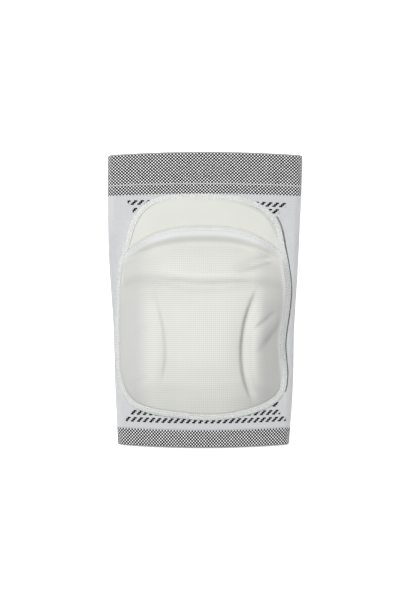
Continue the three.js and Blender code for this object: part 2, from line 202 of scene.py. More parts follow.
waist = {
    "leftWidth": 28.2 * mm,  # from the middle to each groove
    "rightWidth": 31.9 * mm,
    "leftFlare": (10 * mm, 8 * mm),  # how far each groove swings out above and below the waist
    "rightFlare": (11.2 * mm, 6.8 * mm),
    "lean": -1 * mm,
    "belowHem": 101.3 * mm,
    "spanUp": 50 * mm,
    "spanDown": 35 * mm,
    "leftDepth": 2.1 * mm,
    "leftReaches": (8 * mm, 2.5 * mm),  # on the block's side and on the wing's
    "rightDepth": 6.2 * mm,
    "rightReaches": (1.9 * mm, 7.5 * mm),
    "rollOff": 1.0 * mm,  # the block's right edge rounds off towards its groove
    "rollReach": 11 * mm,
    "crest": 0.6 * mm,  # a low swelling of the left wing beside its groove
    "crestOut": 8 * mm,
    "crestReach": 6 * mm,
    "fadeUp": (0.45, 0.75),  # shares of the span where the grooves start to fade, and over which
    "leftFadeDown": (0.2, 0.7),
    "rightFadeDown": (0.85, 0.4),
}

# Shares that a crease has left at its ends, and the parts of its length over which it fades
creaseEnds = {"start": 0.25, "startOver": 0.35, "end": 0.15, "endOver": 0.5}

# Soft creases: left and right are the reaches to either side, looking from start to end
creaseRows = [
    {"start": (0.86, 0.44), "end": (0.32, 0.305), "depth": 4.2 * mm, "left": 2.4 * mm, "right": 7 * mm},
    {"start": (0.74, 0.425), "end": (0.5, 0.418), "depth": 0.7 * mm, "left": 1.2 * mm, "right": 1.2 * mm},
    {"start": (0.82, -0.035), "end": (0.53, -0.225), "depth": 2.9 * mm, "left": 3 * mm, "right": 2 * mm},
    {"start": (0.93, -0.1), "end": (0.61, -0.42), "depth": 5.8 * mm, "left": 9 * mm, "right": 3.4 * mm},
    {"start": (0.84, -1.0), "end": (0.84, -0.25), "depth": 3 * mm, "left": 22 * mm, "right": 6 * mm},
    {"start": (0.86, -0.62), "end": (0.6, -0.66), "depth": 0.5 * mm, "left": 2 * mm, "right": 3 * mm},
    {"start": (-0.6, -0.6), "end": (-0.84, -0.7), "depth": 0.7 * mm, "left": 4 * mm, "right": 2 * mm},
    {"start": (-0.6, -0.17), "end": (-0.86, -0.3), "depth": 0.5 * mm, "left": 5 * mm, "right": 3 * mm},
]


def mix(start, end, share):
    return start + (end - start) * share


def smooth(value):
    share = np.clip(value, 0, 1)
    return share * share * (3 - 2 * share)


def rising(value, start, over):
    return smooth((value - start) / over)


# rises over one stretch and falls over the other
def between(value, first, last):
    return rising(value, *first) * (1 - rising(value, *last))


def hermite(start, end, startPull, endPull, t):
    cubic = (2 * t**3 - 3 * t**2 + 1) * start + (3 * t**2 - 2 * t**3) * end
    return cubic + (t**3 - 2 * t**2 + t) * startPull + (t**3 - t**2) * endPull


def lengthsAlong(points):
    return np.concatenate([[0], np.cumsum(np.linalg.norm(np.diff(points, axis=0), axis=1))])


def alongLine(points, shares):
    lengths = lengthsAlong(points)
    wanted = np.clip(shares, 0, 1) * lengths[-1]
    return np.stack([np.interp(wanted, lengths, points[:, axis]) for axis in (0, 1)], axis=1)


def trough(distance, reach):
    return np.exp(-((distance / reach) ** 2))


def twoSided(distance, below, above):
    return np.exp(-((distance / np.where(distance < 0, below, above)) ** 2))


# smooth value of one column at places along a table
def follow(rows, along, column):
    keys = np.array(rows["along"])
    values = np.array(rows[column])
    last = len(keys) - 1
    index = np.clip(np.searchsorted(keys, along) - 1, 0, last - 1)
    t = np.clip((along - keys[index]) / (keys[index + 1] - keys[index]), 0, 1)
    before, start, end, after = (values[np.clip(index + shift, 0, last)] for shift in (-1, 0, 1, 2))
    return hermite(start, end, 0.5 * (end - before), 0.5 * (after - start), t)


def tubeHalf(y):
    spread = follow(tubeRows, y / tube["length"] + 0.5, "spread")
    return mix(tube["calfWidth"], tube["thighWidth"], spread) / 2


def tubeMiddle(y):
    return follow(tubeRows, y / tube["length"] + 0.5, "lean") * tubeHalf(y)


def tubeTop(x, y):
    share = (x - tubeMiddle(y)) / tubeHalf(y)
    return tube["height"] - tube["archDrop"] * share**2


# gentle unevenness of cloth: a sum of a few long waves with fixed directions
def unevenness(x, y, waveLength, seed):
    random = np.random.default_rng(seed)
    total = 0
    for _ in range(7):
        angle = random.uniform(0, math.pi)
        scale = 2 * math.pi / (waveLength * random.uniform(0.7, 1.5))
        phase = random.uniform(0, 2 * math.pi)
        total = total + np.sin((x * math.cos(angle) + y * math.sin(angle)) * scale + phase)
    return total / 7


# Outline of the pad, its seams and how far a point lies inside them
padMiddle = (padTop + padBottom) / 2
padHalfLength = (padTop - padBottom) / 2
padHalfWidth = tubeHalf(padMiddle) - 3 * mm
padCentre = tubeMiddle(padMiddle)
hemPeak = padTop - pad["upperShow"]
ridgeLine = hemPeak - pad["ridgeBelowHem"]
waistLine = hemPeak - waist["belowHem"]


def padPlace(across, along):
    return np.array([padCentre + across * padHalfWidth, padMiddle + along * padHalfLength])


def shareAcross(x):
    return (x - padCentre) / padHalfWidth


def shareAlong(y):
    return (y - padMiddle) / padHalfLength


def closedCurve(points, count):
    # centripetal curve through the points, evenly spaced by length
    total = len(points)
    dense = []
    for index in range(total):
        p0, p1, p2, p3 = (points[(index + shift) % total] for shift in (-1, 0, 1, 2))
        d1, d2, d3 = (math.sqrt(np.linalg.norm(step)) for step in (p1 - p0, p2 - p1, p3 - p2))
        startPull = ((p1 - p0) / d1 - (p2 - p0) / (d1 + d2) + (p2 - p1) / d2) * d2
        endPull = ((p2 - p1) / d2 - (p3 - p1) / (d2 + d3) + (p3 - p2) / d3) * d2
        dense += [hermite(p1, p2, startPull, endPull, t) for t in np.arange(24) / 24]
    return alongLine(np.array(dense + [dense[0]]), np.arange(count) / count)


outerEdge = closedCurve([padPlace(*row) for row in zip(outlineRows["across"], outlineRows["along"])], 480)


def insetEdge(distance):
    heading = np.roll(outerEdge, -1, axis=0) - np.roll(outerEdge, 1, axis=0)
    heading /= np.linalg.norm(heading, axis=1)[:, None]
    inward = np.stack([heading[:, 1], -heading[:, 0]], axis=1)
    return outerEdge + np.broadcast_to(distance, len(outerEdge))[:, None] * inward


def tapeWidthAt(places):
    beside = rising(np.abs(places[:, 0] - padCentre), *pad["widenBeside"])
    upper = rising(places[:, 1] - hemPeak, *pad["widenAbove"])
    return pad["tapeWidth"] + pad["tapeWiden"] * beside * upper


tapeInner = insetEdge(tapeWidthAt(outerEdge))
seamEdge = insetEdge(tapeWidthAt(outerEdge) - pad["tuck"])


# a grid of distances to a closed line, positive inside it, read between its points
class DistanceField:
    def __init__(self, line, margin, step):
        self.low = line.min(axis=0) - margin
        high = line.max(axis=0) + margin
        self.step = step
        counts = np.ceil((high - self.low) / step).astype(int) + 1
        xs = self.low[0] + np.arange(counts[0]) * step
        ys = self.low[1] + np.arange(counts[1]) * step
        gridX, gridY = np.meshgrid(xs, ys, indexing="ij")
        nearest = np.full(gridX.shape, np.inf)
        inside = np.zeros(gridX.shape, bool)
        for here, there in zip(line, np.roll(line, -1, axis=0)):
            run = there - here
            share = ((gridX - here[0]) * run[0] + (gridY - here[1]) * run[1]) / (run @ run)
            share = np.clip(share, 0, 1)
            gap = np.hypot(gridX - here[0] - share * run[0], gridY - here[1] - share * run[1])
            nearest = np.minimum(nearest, gap)
            if here[1] != there[1]:
                spans = (here[1] > gridY) != (there[1] > gridY)
                inside ^= spans & (gridX < here[0] + run[0] * (gridY - here[1]) / run[1])
        self.values = np.where(inside, nearest, -nearest)

    def at(self, x, y):
        placeX = np.clip((x - self.low[0]) / self.step, 0, self.values.shape[0] - 1.001)
        placeY = np.clip((y - self.low[1]) / self.step, 0, self.values.shape[1] - 1.001)
        column = placeX.astype(int)
        row = placeY.astype(int)
        acrossShare = placeX - column
        alongShare = placeY - row
        lower = mix(self.values[column, row], self.values[column + 1, row], acrossShare)
        upper = mix(self.values[column, row + 1], self.values[column + 1, row + 1], acrossShare)
        return mix(lower, upper, alongShare)


seamField = DistanceField(seamEdge, 4 * mm, 0.7 * mm)
outerField = DistanceField(outerEdge, 24 * mm, 1.2 * mm)
print("outline and seams worked out")


def hemEdge(x):
    return hemPeak - pad["hemFall"] * np.abs(shareAcross(x)) ** pad["hemFallPower"]


def jointLine(x):
    return hemEdge(x) - pad["hemLap"]


# The pad's outer edge stands a little off the sleeve on the right-hand side
edgeLift = {"height": 2.8 * mm, "side": (0.5, 0.3), "ends": (0.5, 0.28), "reach": 8 * mm}


def padBase(x, y):
    side = rising(shareAcross(x), *edgeLift["side"])
    stretch = 1 - rising(np.abs(shareAlong(y)), *edgeLift["ends"])
    near = 1 - smooth((outerField.at(x, y)) / edgeLift["reach"])
    return tubeTop(x, y) + pad["gap"] + edgeLift["height"] * side * stretch * near


def crossGroovePlace(x, y):
    # how far above the groove's line a point lies, and how strong the groove is there
    share = shareAcross(x)
    swell = np.where(share < 0, crossGroove["leftSwell"], crossGroove["rightSwell"])
    line = ridgeLine - crossGroove["belowRidge"] - crossGroove["bend"] * share**8
    line = line + swell * smooth(np.abs(share) / crossGroove["swellOver"])
    return y - line, 1 - rising(np.abs(share), *crossGroove["fade"])


def crossGrooveDepth(x, y):
    above, fade = crossGroovePlace(x, y)
    return crossGroove["depth"] * twoSided(above, crossGroove["blockSide"], crossGroove["ridgeSide"]) * fade


def waistPlaces(x, y):
    # how far outside each groove a point lies, and how strong the grooves are there
    above = y - waistLine
    span = np.where(above > 0, waist["spanUp"], waist["spanDown"])
    swing = (above / span) ** 2
    leftEdge = waist["leftWidth"] + np.where(above > 0, *waist["leftFlare"]) * swing
    rightEdge = waist["rightWidth"] + np.where(above > 0, *waist["rightFlare"]) * swing
    fades = []
    for down in (waist["leftFadeDown"], waist["rightFadeDown"]):
        first, over = (np.where(above > 0, up, low) for up, low in zip(waist["fadeUp"], down))
        fades.append(1 - rising(np.abs(above) / span, first, over))
    fromMiddle = x - padCentre - waist["lean"]
    return -fromMiddle - leftEdge, fromMiddle - rightEdge, fades


def waistDepth(x, y):
    left, right, fades = waistPlaces(x, y)
    leftDepth = waist["leftDepth"] * twoSided(left, *waist["leftReaches"])
    leftDepth = leftDepth - waist["crest"] * trough(left - waist["crestOut"], waist["crestReach"])
    rightDepth = waist["rightDepth"] * twoSided(right, *waist["rightReaches"])
    rightDepth = rightDepth + waist["rollOff"] * twoSided(right, waist["rollReach"], waist["rightReaches"][1])
    return leftDepth * fades[0] + rightDepth * fades[1]


def creaseDepth(x, y):
    total = 0
    for row in creaseRows:
        start = padPlace(*row["start"])
        run = padPlace(*row["end"]) - start
        length = math.hypot(*run)
        share = ((x - start[0]) * run[0] + (y - start[1]) * run[1]) / length**2
        aside = ((y - start[1]) * run[0] - (x - start[0]) * run[1]) / length
        reach = np.where(aside > 0, row["left"], row["right"])
        opening = smooth(share / creaseEnds["startOver"] + creaseEnds["start"])
        closing = smooth((1 - share) / creaseEnds["endOver"] + creaseEnds["end"])
        total = total + row["depth"] * trough(aside, reach) * opening * closing
    return total


def seamShare(x, along):
    # clearest round the bottom and the upper right
    upperLeft = smooth(along / pad["seamUp"]) * (1 - smooth((x - padCentre) / pad["seamRight"]))
    return rising(np.abs(along), *pad["seamAlong"]) * (1 - pad["seamLeftLoss"] * upperLeft)


def valleyFade(x):
    share = shareAcross(x)
    ends = 1 - rising(np.abs(share), *pad["valleyFade"])
    return ends * (1 - pad["valleyLeftLoss"] * rising(-share, *pad["valleyLeft"]))


# Height of the foam above its base; plain leaves out the grooves and creases
def foamHeight(x, y, plain=False):
    along = shareAlong(y)
    below = hemEdge(x) - y - pad["hemWidth"]
    rise = np.clip(below / pad["lobeRise"], 0, 1) ** pad["lobePower"]
    wing = np.clip((np.abs(x - padCentre) - pad["wingStart"]) / (padHalfWidth - pad["wingStart"]), 0, 1)
    pressed = smooth((x - padCentre) / pad["pressedOver"]) * rising(-along, *pad["pressedBelow"])
    wingFall = mix(pad["leftWingFall"], pad["rightWingFall"], pressed)
    crown = follow(crownRows, along, "crown") * pad["thickness"] - wingFall * wing**2
    if not plain:
        crown = crown - waistDepth(x, y) - crossGrooveDepth(x, y)
        crown = crown + pad["uneven"] * unevenness(x, y, pad["unevenWave"], 5)
    valley = trough(below, pad["valleyReach"]) * valleyFade(x)
    body = mix(pad["upperThickness"], crown, rise) - pad["valley"] * valley
    if not plain:
        body = body - creaseDepth(x, y)
    inside = np.maximum(seamField.at(x, y), 0)
    reach = mix(pad["upperShoulder"], pad["shoulder"], rise)
    share = np.sin(math.pi / 2 * np.clip(inside / reach, 0, 1)) ** pad["fullPower"]
    height = mix(pad["tapeInner"] - pad["tuckDrop"], body, share)
    if plain:
        return height
    sewn = seamShare(x, along) * trough(inside - pad["seamDipIn"], pad["seamDipReach"])
    height = height - pad["seamDip"] * sewn
    return height - pad["contact"] * trough(y - hemEdge(x) - pad["contactAbove"], pad["contactReach"])


# Painted shade: how much darker the cloth is painted in the valley under the hem, in the grooves, creases and
# sewn lines, along the hem's edge, and where the block turns away from the light
foldLook = {
    "above": 1.5 * mm,
    "valley": 0.52,
    "valleyReach": 4.6 * mm,
    "lobe": 0.17,
    "lobeReach": 18 * mm,
    "waist": 110.0,  # shares for each metre of depth
    "rightWaist": 0.42,
    "cross": {"above": 1.2 * mm, "reaches": (4.6 * mm, 4.2 * mm), "shares": (0.5, 0.82)},
    "block": {"above": -6.5 * mm, "reaches": (11 * mm, 4 * mm), "shares": (0.16, 0.26)},
    "sides": (16 * mm, 18 * mm),
    "foot": 0.3,
    "footDown": ((0.4, 0.22), (0.68, 0.12)),  # where it starts and over what, and where it ends
    "footAcross": ((-46 * mm, 14 * mm), (15 * mm, 15 * mm)),
    "corner": 0.62,
    "cornerDown": ((-0.25, 0.6), (0.66, 0.12)),
    "cornerReaches": (12 * mm, 1.5 * mm),
    "heel": 0.72,
    "heelDown": (0.68, 0.14),
    "heelOut": 39 * mm,
    "heelReach": 17 * mm,
    "crease": 95.0,
    "seam": 0.6,  # the sewn lines beside the tapes and along the hem
    "seamReach": 1.0 * mm,
    "contact": 0.5,
    "contactReach": 0.8 * mm,
}

highlightLook = {
    "edge": (3 * mm, 2 * mm, 2.2 * mm),  # how far outside the right groove, and its reaches
    "crest": (8.6 * mm, 1.3 * mm),  # how far above the cross groove, and its reach
    "crestEnds": (20 * mm, 20 * mm),
    "share": 0.5,
}


# How much painted shade a point of the cloth takes in folds, grooves, creases and sewn lines, from 0 to about
# 1
def foldShare(x, y):
    look = foldLook
    along = shareAlong(y)
    fromMiddle = x - padCentre
    below = hemEdge(x) - y - pad["hemWidth"] + look["above"]
    valley = look["valley"] * trough(below, look["valleyReach"])
    valley = (valley + look["lobe"] * twoSided(below, look["valleyReach"], look["lobeReach"])) * valleyFade(x)
    inside = np.maximum(seamField.at(x, y), 0)
    sewn = look["seam"] * trough(inside - pad["seamDipIn"], look["seamReach"]) * seamShare(x, along)
    sewn = sewn + look["contact"] * trough(y - hemEdge(x) - pad["contactAbove"], look["contactReach"])
    # in the right groove only the block's own edge is dark; its flank faces the light
    carvedDepth = np.maximum(waistDepth(x, y), 0)
    rightShare = look["rightWaist"] * (carvedDepth / waist["rightDepth"]) ** 2
    carved = np.where(fromMiddle > 0, rightShare, look["waist"] * carvedDepth)
    # painted shade in the cross groove and on the top of the block below it, darker towards the sides
    above, fade = crossGroovePlace(x, y)
    sides = rising(np.abs(fromMiddle), *look["sides"])
    for part in (look["cross"], look["block"]):
        strength = fade * mix(*part["shares"], sides)
        carved = carved + twoSided(above - part["above"], *part["reaches"]) * strength
    # the block turns away from the light towards its foot and its lower right edge
    foot = between(-along, *look["footDown"]) * between(fromMiddle, *look["footAcross"])
    corner = between(-along, *look["cornerDown"]) * twoSided(waistPlaces(x, y)[1], *look["cornerReaches"])
    heel = rising(-along, *look["heelDown"]) * trough(fromMiddle - look["heelOut"], look["heelReach"])
    turned = look["foot"] * foot + look["corner"] * corner + look["heel"] * heel
    return np.clip(valley + carved + sewn + turned + creaseDepth(x, y) * look["crease"], 0, 1)


# Painted highlight on the edge right beside the right groove and on the ridge's crest
def highlightShare(x, y):
    out, *reaches = highlightLook["edge"]
    up, reach = highlightLook["crest"]
    _, right, fades = waistPlaces(x, y)
    above, fade = crossGroovePlace(x, y)
    crest = trough(above - up, reach) * fade * (1 - rising(np.abs(x - padCentre), *highlightLook["crestEnds"]))
    return highlightLook["share"] * (twoSided(right - out, *reaches) * fades[1] + crest)


# stores on each point its share of painted shade and of painted highlight
def markPaintedLight(piece, x, y):
    for name, share in (("fold", foldShare(x, y)), ("paintedHighlight", highlightShare(x, y))):
        values = np.tile(share.ravel(), 2)
        piece.data.attributes.new(name, "FLOAT", "POINT").data.foreach_set("value", values)
    return piece


# Meshes from grids of points
def newPiece(name, vertices, faces, uvs):
    mesh = bpy.data.meshes.new(name)
    mesh.from_pydata(np.asarray(vertices).reshape(-1, 3).tolist(), [], [list(face) for face in faces])
    mesh.update()
    layer = mesh.uv_layers.new(name="cloth")
    layer.data.foreach_set("uv", np.asarray(uvs, float).ravel())
    mesh.polygons.foreach_set("use_smooth", np.ones(len(mesh.polygons), bool))
    return addObject(name, mesh)


# a skin closed both ways, such as a tube with a wall: rows of loops, each of equal length
def ringSkin(name, points, uvs):
    rows, columns = points.shape[:2]
    row, column = np.meshgrid(np.arange(rows), np.arange(columns), indexing="ij")
    nextRow = (row + 1) % rows
    nextColumn = (column + 1) % columns
    here = row * columns
    there = nextRow * columns
    faces = np.stack([here + column, here + nextColumn, there + nextColumn, there + column], axis=-1)
    corners = [uvs[row + down, column + right] for down, right in ((0, 0), (0, 1), (1, 1), (1, 0))]
    return newPiece(name, points, faces.reshape(-1, 4), np.stack(corners, axis=2))


# a slab over a grid of places, between an upper and a lower skin
def slabSkin(name, top, bottom, uvs):
    rows, columns = top.shape[:2]
    index = np.arange(rows * columns).reshape(rows, columns)
    upper = np.stack([index[:-1, :-1], index[:-1, 1:], index[1:, 1:], index[1:, :-1]], axis=-1).reshape(-1, 4)
    lower = upper[:, ::-1] + rows * columns
    rim = np.concatenate([index[0, :-1], index[:-1, -1], index[-1, :0:-1], index[:0:-1, 0]])
    after = np.roll(rim, -1)
    wall = np.stack([rim, rim + rows * columns, after + rows * columns, after], axis=-1)
    faces = np.concatenate([upper, lower, wall])
    flatUvs = np.tile(uvs.reshape(-1, 2), (2, 1))
    return newPiece(name, np.concatenate([top.reshape(-1, 3), bottom.reshape(-1, 3)]), faces, flatUvs[faces])


# Turns every face outwards, whichever way a skin was listed
def faceOutwards(piece):
    mesh = piece.data
    points = np.empty(len(mesh.vertices) * 3)
    mesh.vertices.foreach_get("co", points)
    points = points.reshape(-1, 3)
    mesh.calc_loop_triangles()
    corners = np.empty(len(mesh.loop_triangles) * 3, int)
    mesh.loop_triangles.foreach_get("vertices", corners)
    a, b, c = (points[corners.reshape(-1, 3)[:, k]] for k in range(3))
    if (a * np.cross(b, c)).sum() < 0:
        mesh.flip_normals()
        mesh.update()
    return piece


# One wrapped socket: sums and products of wires add Math nodes to its tree
class Wire:
    def __init__(self, tree, socket):
        self.tree = tree
        self.socket = socket

    def node(self, kind, settings=None, sockets=None, out=0):
        made = self.tree.nodes.new(kind)
        for name, value in (settings or {}).items():
            setattr(made, name, value)
        for key, value in (sockets or {}).items():
            if isinstance(value, Wire):
                self.tree.links.new(value.socket, made.inputs[key])
            else:
                made.inputs[key].default_value = value
        return Wire(self.tree, made.outputs[out])

    def math(self, operation, *values):
        return self.node("ShaderNodeMath", {"operation": operation}, dict(enumerate(values)))

    def __add__(self, other):
        return self.math("ADD", self, other)

    def __radd__(self, other):
        return self.math("ADD", other, self)

    def __sub__(self, other):
        return self.math("SUBTRACT", self, other)

    def __rsub__(self, other):
        return self.math("SUBTRACT", other, self)

    def __mul__(self, other):
        return self.math("MULTIPLY", self, other)

    def __rmul__(self, other):
        return self.math("MULTIPLY", other, self)

    def __truediv__(self, other):
        return self.math("DIVIDE", self, other)

    def __rtruediv__(self, other):
        return self.math("DIVIDE", other, self)

    def __abs__(self):
        return self.math("ABSOLUTE", self)

    def fract(self):
        return self.math("FRACT", self)

    def floor(self):
        return self.math("FLOOR", self)

    def sin(self):
        return self.math("SINE", self)

    def between(self, low, high, soft):
        return self.above(low, soft) * (1 - self.above(high, soft))

    def above(self, level, soft):
        ends = {"Value": self, "From Min": level - soft, "From Max": level + soft}
        return self.node("ShaderNodeMapRange", {"interpolation_type": "SMOOTHSTEP"}, ends)

    def blend(self, first, second):
        return self.node("ShaderNodeMix", {"data_type": "RGBA"}, {0: self, 6: first, 7: second}, 2)

    def noise(self, scale, detail):
        return self.node("ShaderNodeTexNoise", {}, {"Vector": self, "Scale": scale, "Detail": detail}, "Fac")


def linear(red, green, blue):
    # a colour picked in display values, as the shader wants it
    return tuple(((value / 255 + 0.055) / 1.055) ** 2.4 for value in (red, green, blue)) + (1.0,)


def newMaterial(name, uniform):
    material = bpy.data.materials.new(name)
    material.use_nodes = True
    shader = material.node_tree.nodes["Principled BSDF"]
    for socket, value in uniform.items():
        shader.inputs[socket].default_value = value
    return material, shader


# paint gives a cloth's colour and the height of its weave
def newCloth(name, paint, roughness, sheen, strength, relief):
    uniform = {"Roughness": roughness, "Sheen Weight": sheen, "Sheen Roughness": 0.6}
    material, shader = newMaterial(name, {"Specular IOR Level": 0.2, **uniform})
    start = Wire(material.node_tree, shader.outputs[0])
    colour, height = paint(start)
    bump = start.node("ShaderNodeBump", {}, {"Strength": strength, "Distance": relief, "Height": height})
    start.tree.links.new(colour.socket, shader.inputs["Base Color"])
    start.tree.links.new(bump.socket, shader.inputs["Normal"])
    return material


def withAxes(place):
    return [place] + [place.node("ShaderNodeSeparateXYZ", {}, {"Vector": place}, axis) for axis in (0, 1)]


def clothPlace(start):
    return withAxes(start.node("ShaderNodeUVMap", {"uv_map": "cloth"}))


def objectPlace(start):
    return withAxes(start.node("ShaderNodeTexCoord", {}, {}, "Object"))


def wave(place, pitch):
    return (place * (2 * math.pi / pitch)).sin()


# Height of one knitted loop: two slanting legs in each wale, with a valley between wales
def loopHeight(wale, course):
    side = abs(wale.fract() - 0.5)
    leg = (course + side * 1.2).fract()
    return (leg * math.pi).sin() * 0.55 + (1 - side * side * 4) * 0.6


def stitchSpeckle(start, wale, course):
    cell = start.node("ShaderNodeCombineXYZ", {}, {"X": wale.floor(), "Y": course.floor()})
    return start.node("ShaderNodeTexWhiteNoise", {"noise_dimensions": "2D"}, {"Vector": cell}, "Value")


knitLook = {
    "light": linear(210, 211, 212),
    "shade": linear(200, 201, 204),
    "black": linear(8, 8, 9),
    "white": linear(255, 255, 255),
    "dashPitch": 4.05,  # wales from one dash to the next
    "dashShare": 0.5,  # share of the pitch that is black
    "dashCourses": 3.0,
    "dottedPastCuffs": (17, 16),  # courses past the calf cuff and before the thigh cuff
    "dotted": (-54, 56, 1.0),  # between these wales
    # painted shade on the front's left side, from this wale outwards towards the fold
    "foldedPast": (53, 5),
}

# Rows of slanted dashes: courses from the cuff's edge, and wales from the middle of the front
dashRows = [
    {"end": "thigh", "courses": 4.2, "tilt": 0.016, "left": -46, "right": 49.2},
    {"end": "thigh", "courses": 8.8, "tilt": 0.008, "left": -43, "right": 45.2},
    {"end": "thigh", "courses": 13.6, "tilt": 0.0, "left": -40, "right": 42},
    {"end": "calf", "courses": 4.4, "tilt": 0.0, "left": -51.5, "right": 54.4},
    {"end": "calf", "courses": 8.8, "tilt": 0.0, "left": -48, "right": 50.2},
    {"end": "calf", "courses": 13.8, "tilt": 0.0, "left": -45, "right": 48.6},
]


def knitCourse(y):
    # courses from the calf end, where each is shorter, to the thigh end
    share = (y - calfEnd) / tube["length"]
    pitch = tube["calfCourse"] + (tube["thighCourse"] - tube["calfCourse"]) * share / 2
    return (y - calfEnd) / pitch


thighEdge = thighEnd - tube["thighCuff"]
cuffHemLine = thighEnd - 26 * mm  # where the thigh cuff's turned edge is stitched down
calfEdge = calfEnd + tube["calfCuff"]


def greyKnit(start):
    place, wale, course = clothPlace(start)
    black = None
    for row in dashRows:
        if row["end"] == "thigh":
            bottom = knitCourse(thighEdge) - row["courses"] - knitLook["dashCourses"]
        else:
            bottom = knitCourse(calfEdge) + row["courses"]
        fromBottom = course - bottom + wale * row["tilt"]
        slant = (wale - fromBottom.floor()) / knitLook["dashPitch"]
        dash = slant.fract().between(0.1, 0.1 + knitLook["dashShare"], 0.04)
        dash = dash * fromBottom.between(0, knitLook["dashCourses"], 0.12)
        dash = dash * wale.between(row["left"], row["right"], 0.2)
        black = dash if black is None else black.math("MAXIMUM", black, dash)
    speckle = stitchSpeckle(start, wale, course)
    mottle = place.noise(0.05, 3.0)
    past, before = knitLook["dottedPastCuffs"]
    nearCuffs = 1 - course.between(knitCourse(calfEdge) + past, knitCourse(thighEdge) - before, 1.5)
    dotted = ((wale.floor() + course.floor()) / 2).fract() * 2
    dotted = dotted * nearCuffs * wale.between(*knitLook["dotted"])
    # painted shade on the front's left side, where it turns round the fold
    folded = course.between(knitCourse(-64 * mm), knitCourse(56 * mm), 6)
    folded = folded * (wale * -1.0).above(*knitLook["foldedPast"])
    grain = mottle * 0.5 + speckle * 0.3 + dotted * 0.9 - nearCuffs * 0.25 + folded * 0.7
    cloth = grain.blend(knitLook["light"], knitLook["shade"])
    return black.blend(cloth, knitLook["black"]), loopHeight(wale, course)


def checkKnit(start):
    _, wale, course = clothPlace(start)
    checks = (wale * math.pi).sin() * (course * math.pi).sin()
    speckle = stitchSpeckle(start, wale, course)
    black = (checks + (speckle - 0.5) * 0.06).above(-0.25, 0.07)
    turned = course.above(knitCourse(thighEnd) - 1.0, 0.25)
    turned = turned.math("MAXIMUM", turned, 1 - course.above(0.7, 0.25))
    colour = black.blend(knitLook["white"], knitLook["black"])
    colour = (turned * 0.8).blend(colour, linear(176, 178, 178))
    stitched = course.between(knitCourse(cuffHemLine) - 0.3, knitCourse(cuffHemLine) + 0.5, 0.2)
    colour = (stitched * 0.45).blend(colour, linear(225, 226, 226))
    return colour, loopHeight(wale, course)


meshLook = {
    "light": linear(230, 231, 225),
    "shade": linear(209, 210, 204),
    # painted shade on the wings, the ends of the lobe and the ends of the hem
    "paintedShadeGrey": linear(198, 198, 196),
    "pitch": 1.6,  # millimetres from rib to rib
    "wingShadeShare": 0.85,
    "leftWing": (48.5, 9),  # millimetres from the middle, and how soft its edge is
    "rightWing": (45.5, 7),
    "wingsDown": (-86, 12),
    "upper": (6, 8),  # from where upwards the lobe starts
    "lobeEnds": (36, 7),
    "lobeShadeShare": 0.2,
    # where down the right flank painted shade falls, in the fold shade's colour
    "flank": (49, 6),
    "flankTop": (2, 9),
    "flankLean": 0.15,
    "flankShadeShare": 0.15,
    # colour and share of the painted highlight
    "paintedHighlight": linear(243, 244, 240),
    "highlightShare": 0.4,
    # colour and share of the painted shade in folds
    "fold": linear(140, 140, 137),
    "foldShare": 0.26,
}


def attributeOf(start, name):
    return start.node("ShaderNodeAttribute", {"attribute_name": name}, {}, "Fac")


# blends in the painted shade of folds, as marked on each point
def withFoldShade(start, colour, share=1.0):
    return (attributeOf(start, "fold") * (meshLook["foldShare"] * share)).blend(colour, meshLook["fold"])


def meshCloth(start):
    place, across, along = clothPlace(start)
    ribs = wave(along, meshLook["pitch"]) * 0.5 + 0.5
    columns = wave(across, meshLook["pitch"]) * 0.5 + 0.5
    middle = 1 - abs(across).above(30, 10)
    fine = place.noise(1.6, 2.0)
    soft = place.noise(0.04, 2.0)
    clear = place.noise(0.03, 1.0).above(0.5, 0.2) * 0.5 + 0.5
    holes = ((0.5 - ribs) * 0.75 + (0.5 - columns) * (middle * 0.4 + 0.1)) * clear
    cloth = (holes + soft * 0.3 + 0.35).blend(meshLook["light"], meshLook["shade"])
    # over the wings and the ends of the lobe the cloth is painted greyer, as painted shade
    upper = along.above(*meshLook["upper"])
    leftWing = (across * -1.0).above(*meshLook["leftWing"]) * (1 - upper * 0.25)
    rightWing = across.above(*meshLook["rightWing"]) * (1 - upper * 0.3)
    wing = (leftWing + rightWing) * along.above(*meshLook["wingsDown"])
    lobeEnd = (across * -1.0).above(*meshLook["lobeEnds"]) * upper * meshLook["lobeShadeShare"]
    wing = wing + lobeEnd * (1 - wing)
    cloth = (wing * meshLook["wingShadeShare"]).blend(cloth, meshLook["paintedShadeGrey"])
    # painted shade down the right flank
    flank = (across - along * meshLook["flankLean"]).above(*meshLook["flank"])
    flank = flank * (1 - along.above(*meshLook["flankTop"]))
    cloth = (flank * meshLook["flankShadeShare"]).blend(cloth, meshLook["fold"])
    # painted highlight where the points are marked for it
    cloth = (attributeOf(start, "paintedHighlight") * meshLook["highlightShare"]).blend(cloth, meshLook["paintedHighlight"])
    return withFoldShade(start, cloth), ribs * 0.7 + columns * 0.35 + fine * 0.25


def smoothCloth(start):
    place, across, along = clothPlace(start)
    colour = place.noise(0.05, 2.0).blend(linear(221, 222, 215), linear(215, 216, 209))
    weave = wave(across, 0.7) * wave(along, 0.7)
    # with painted shade in its folds
    return withFoldShade(start, colour), weave * 0.3 + place.noise(0.6, 3.0)


# painted shade on the trim's right and left sides, in metres: across, and how soft; along, between which, and
# how soft
trimShadeLook = {
    "rightTrimShade": ((0.056, 0.008), (-0.056, 0.034, 0.016)),
    "leftTrimShade": ((0.062, 0.004), (-0.08, 0.04, 0.02)),
    "trimShade": linear(150, 152, 152),
    "rightTrimShadeShare": 0.5,
    "leftTrimShadeShare": 0.22,
    "threadShadeShare": 0.4,
}


def trimShadeMask(across, along, where):
    return across.above(*trimShadeLook[where][0]) * along.between(*trimShadeLook[where][1])


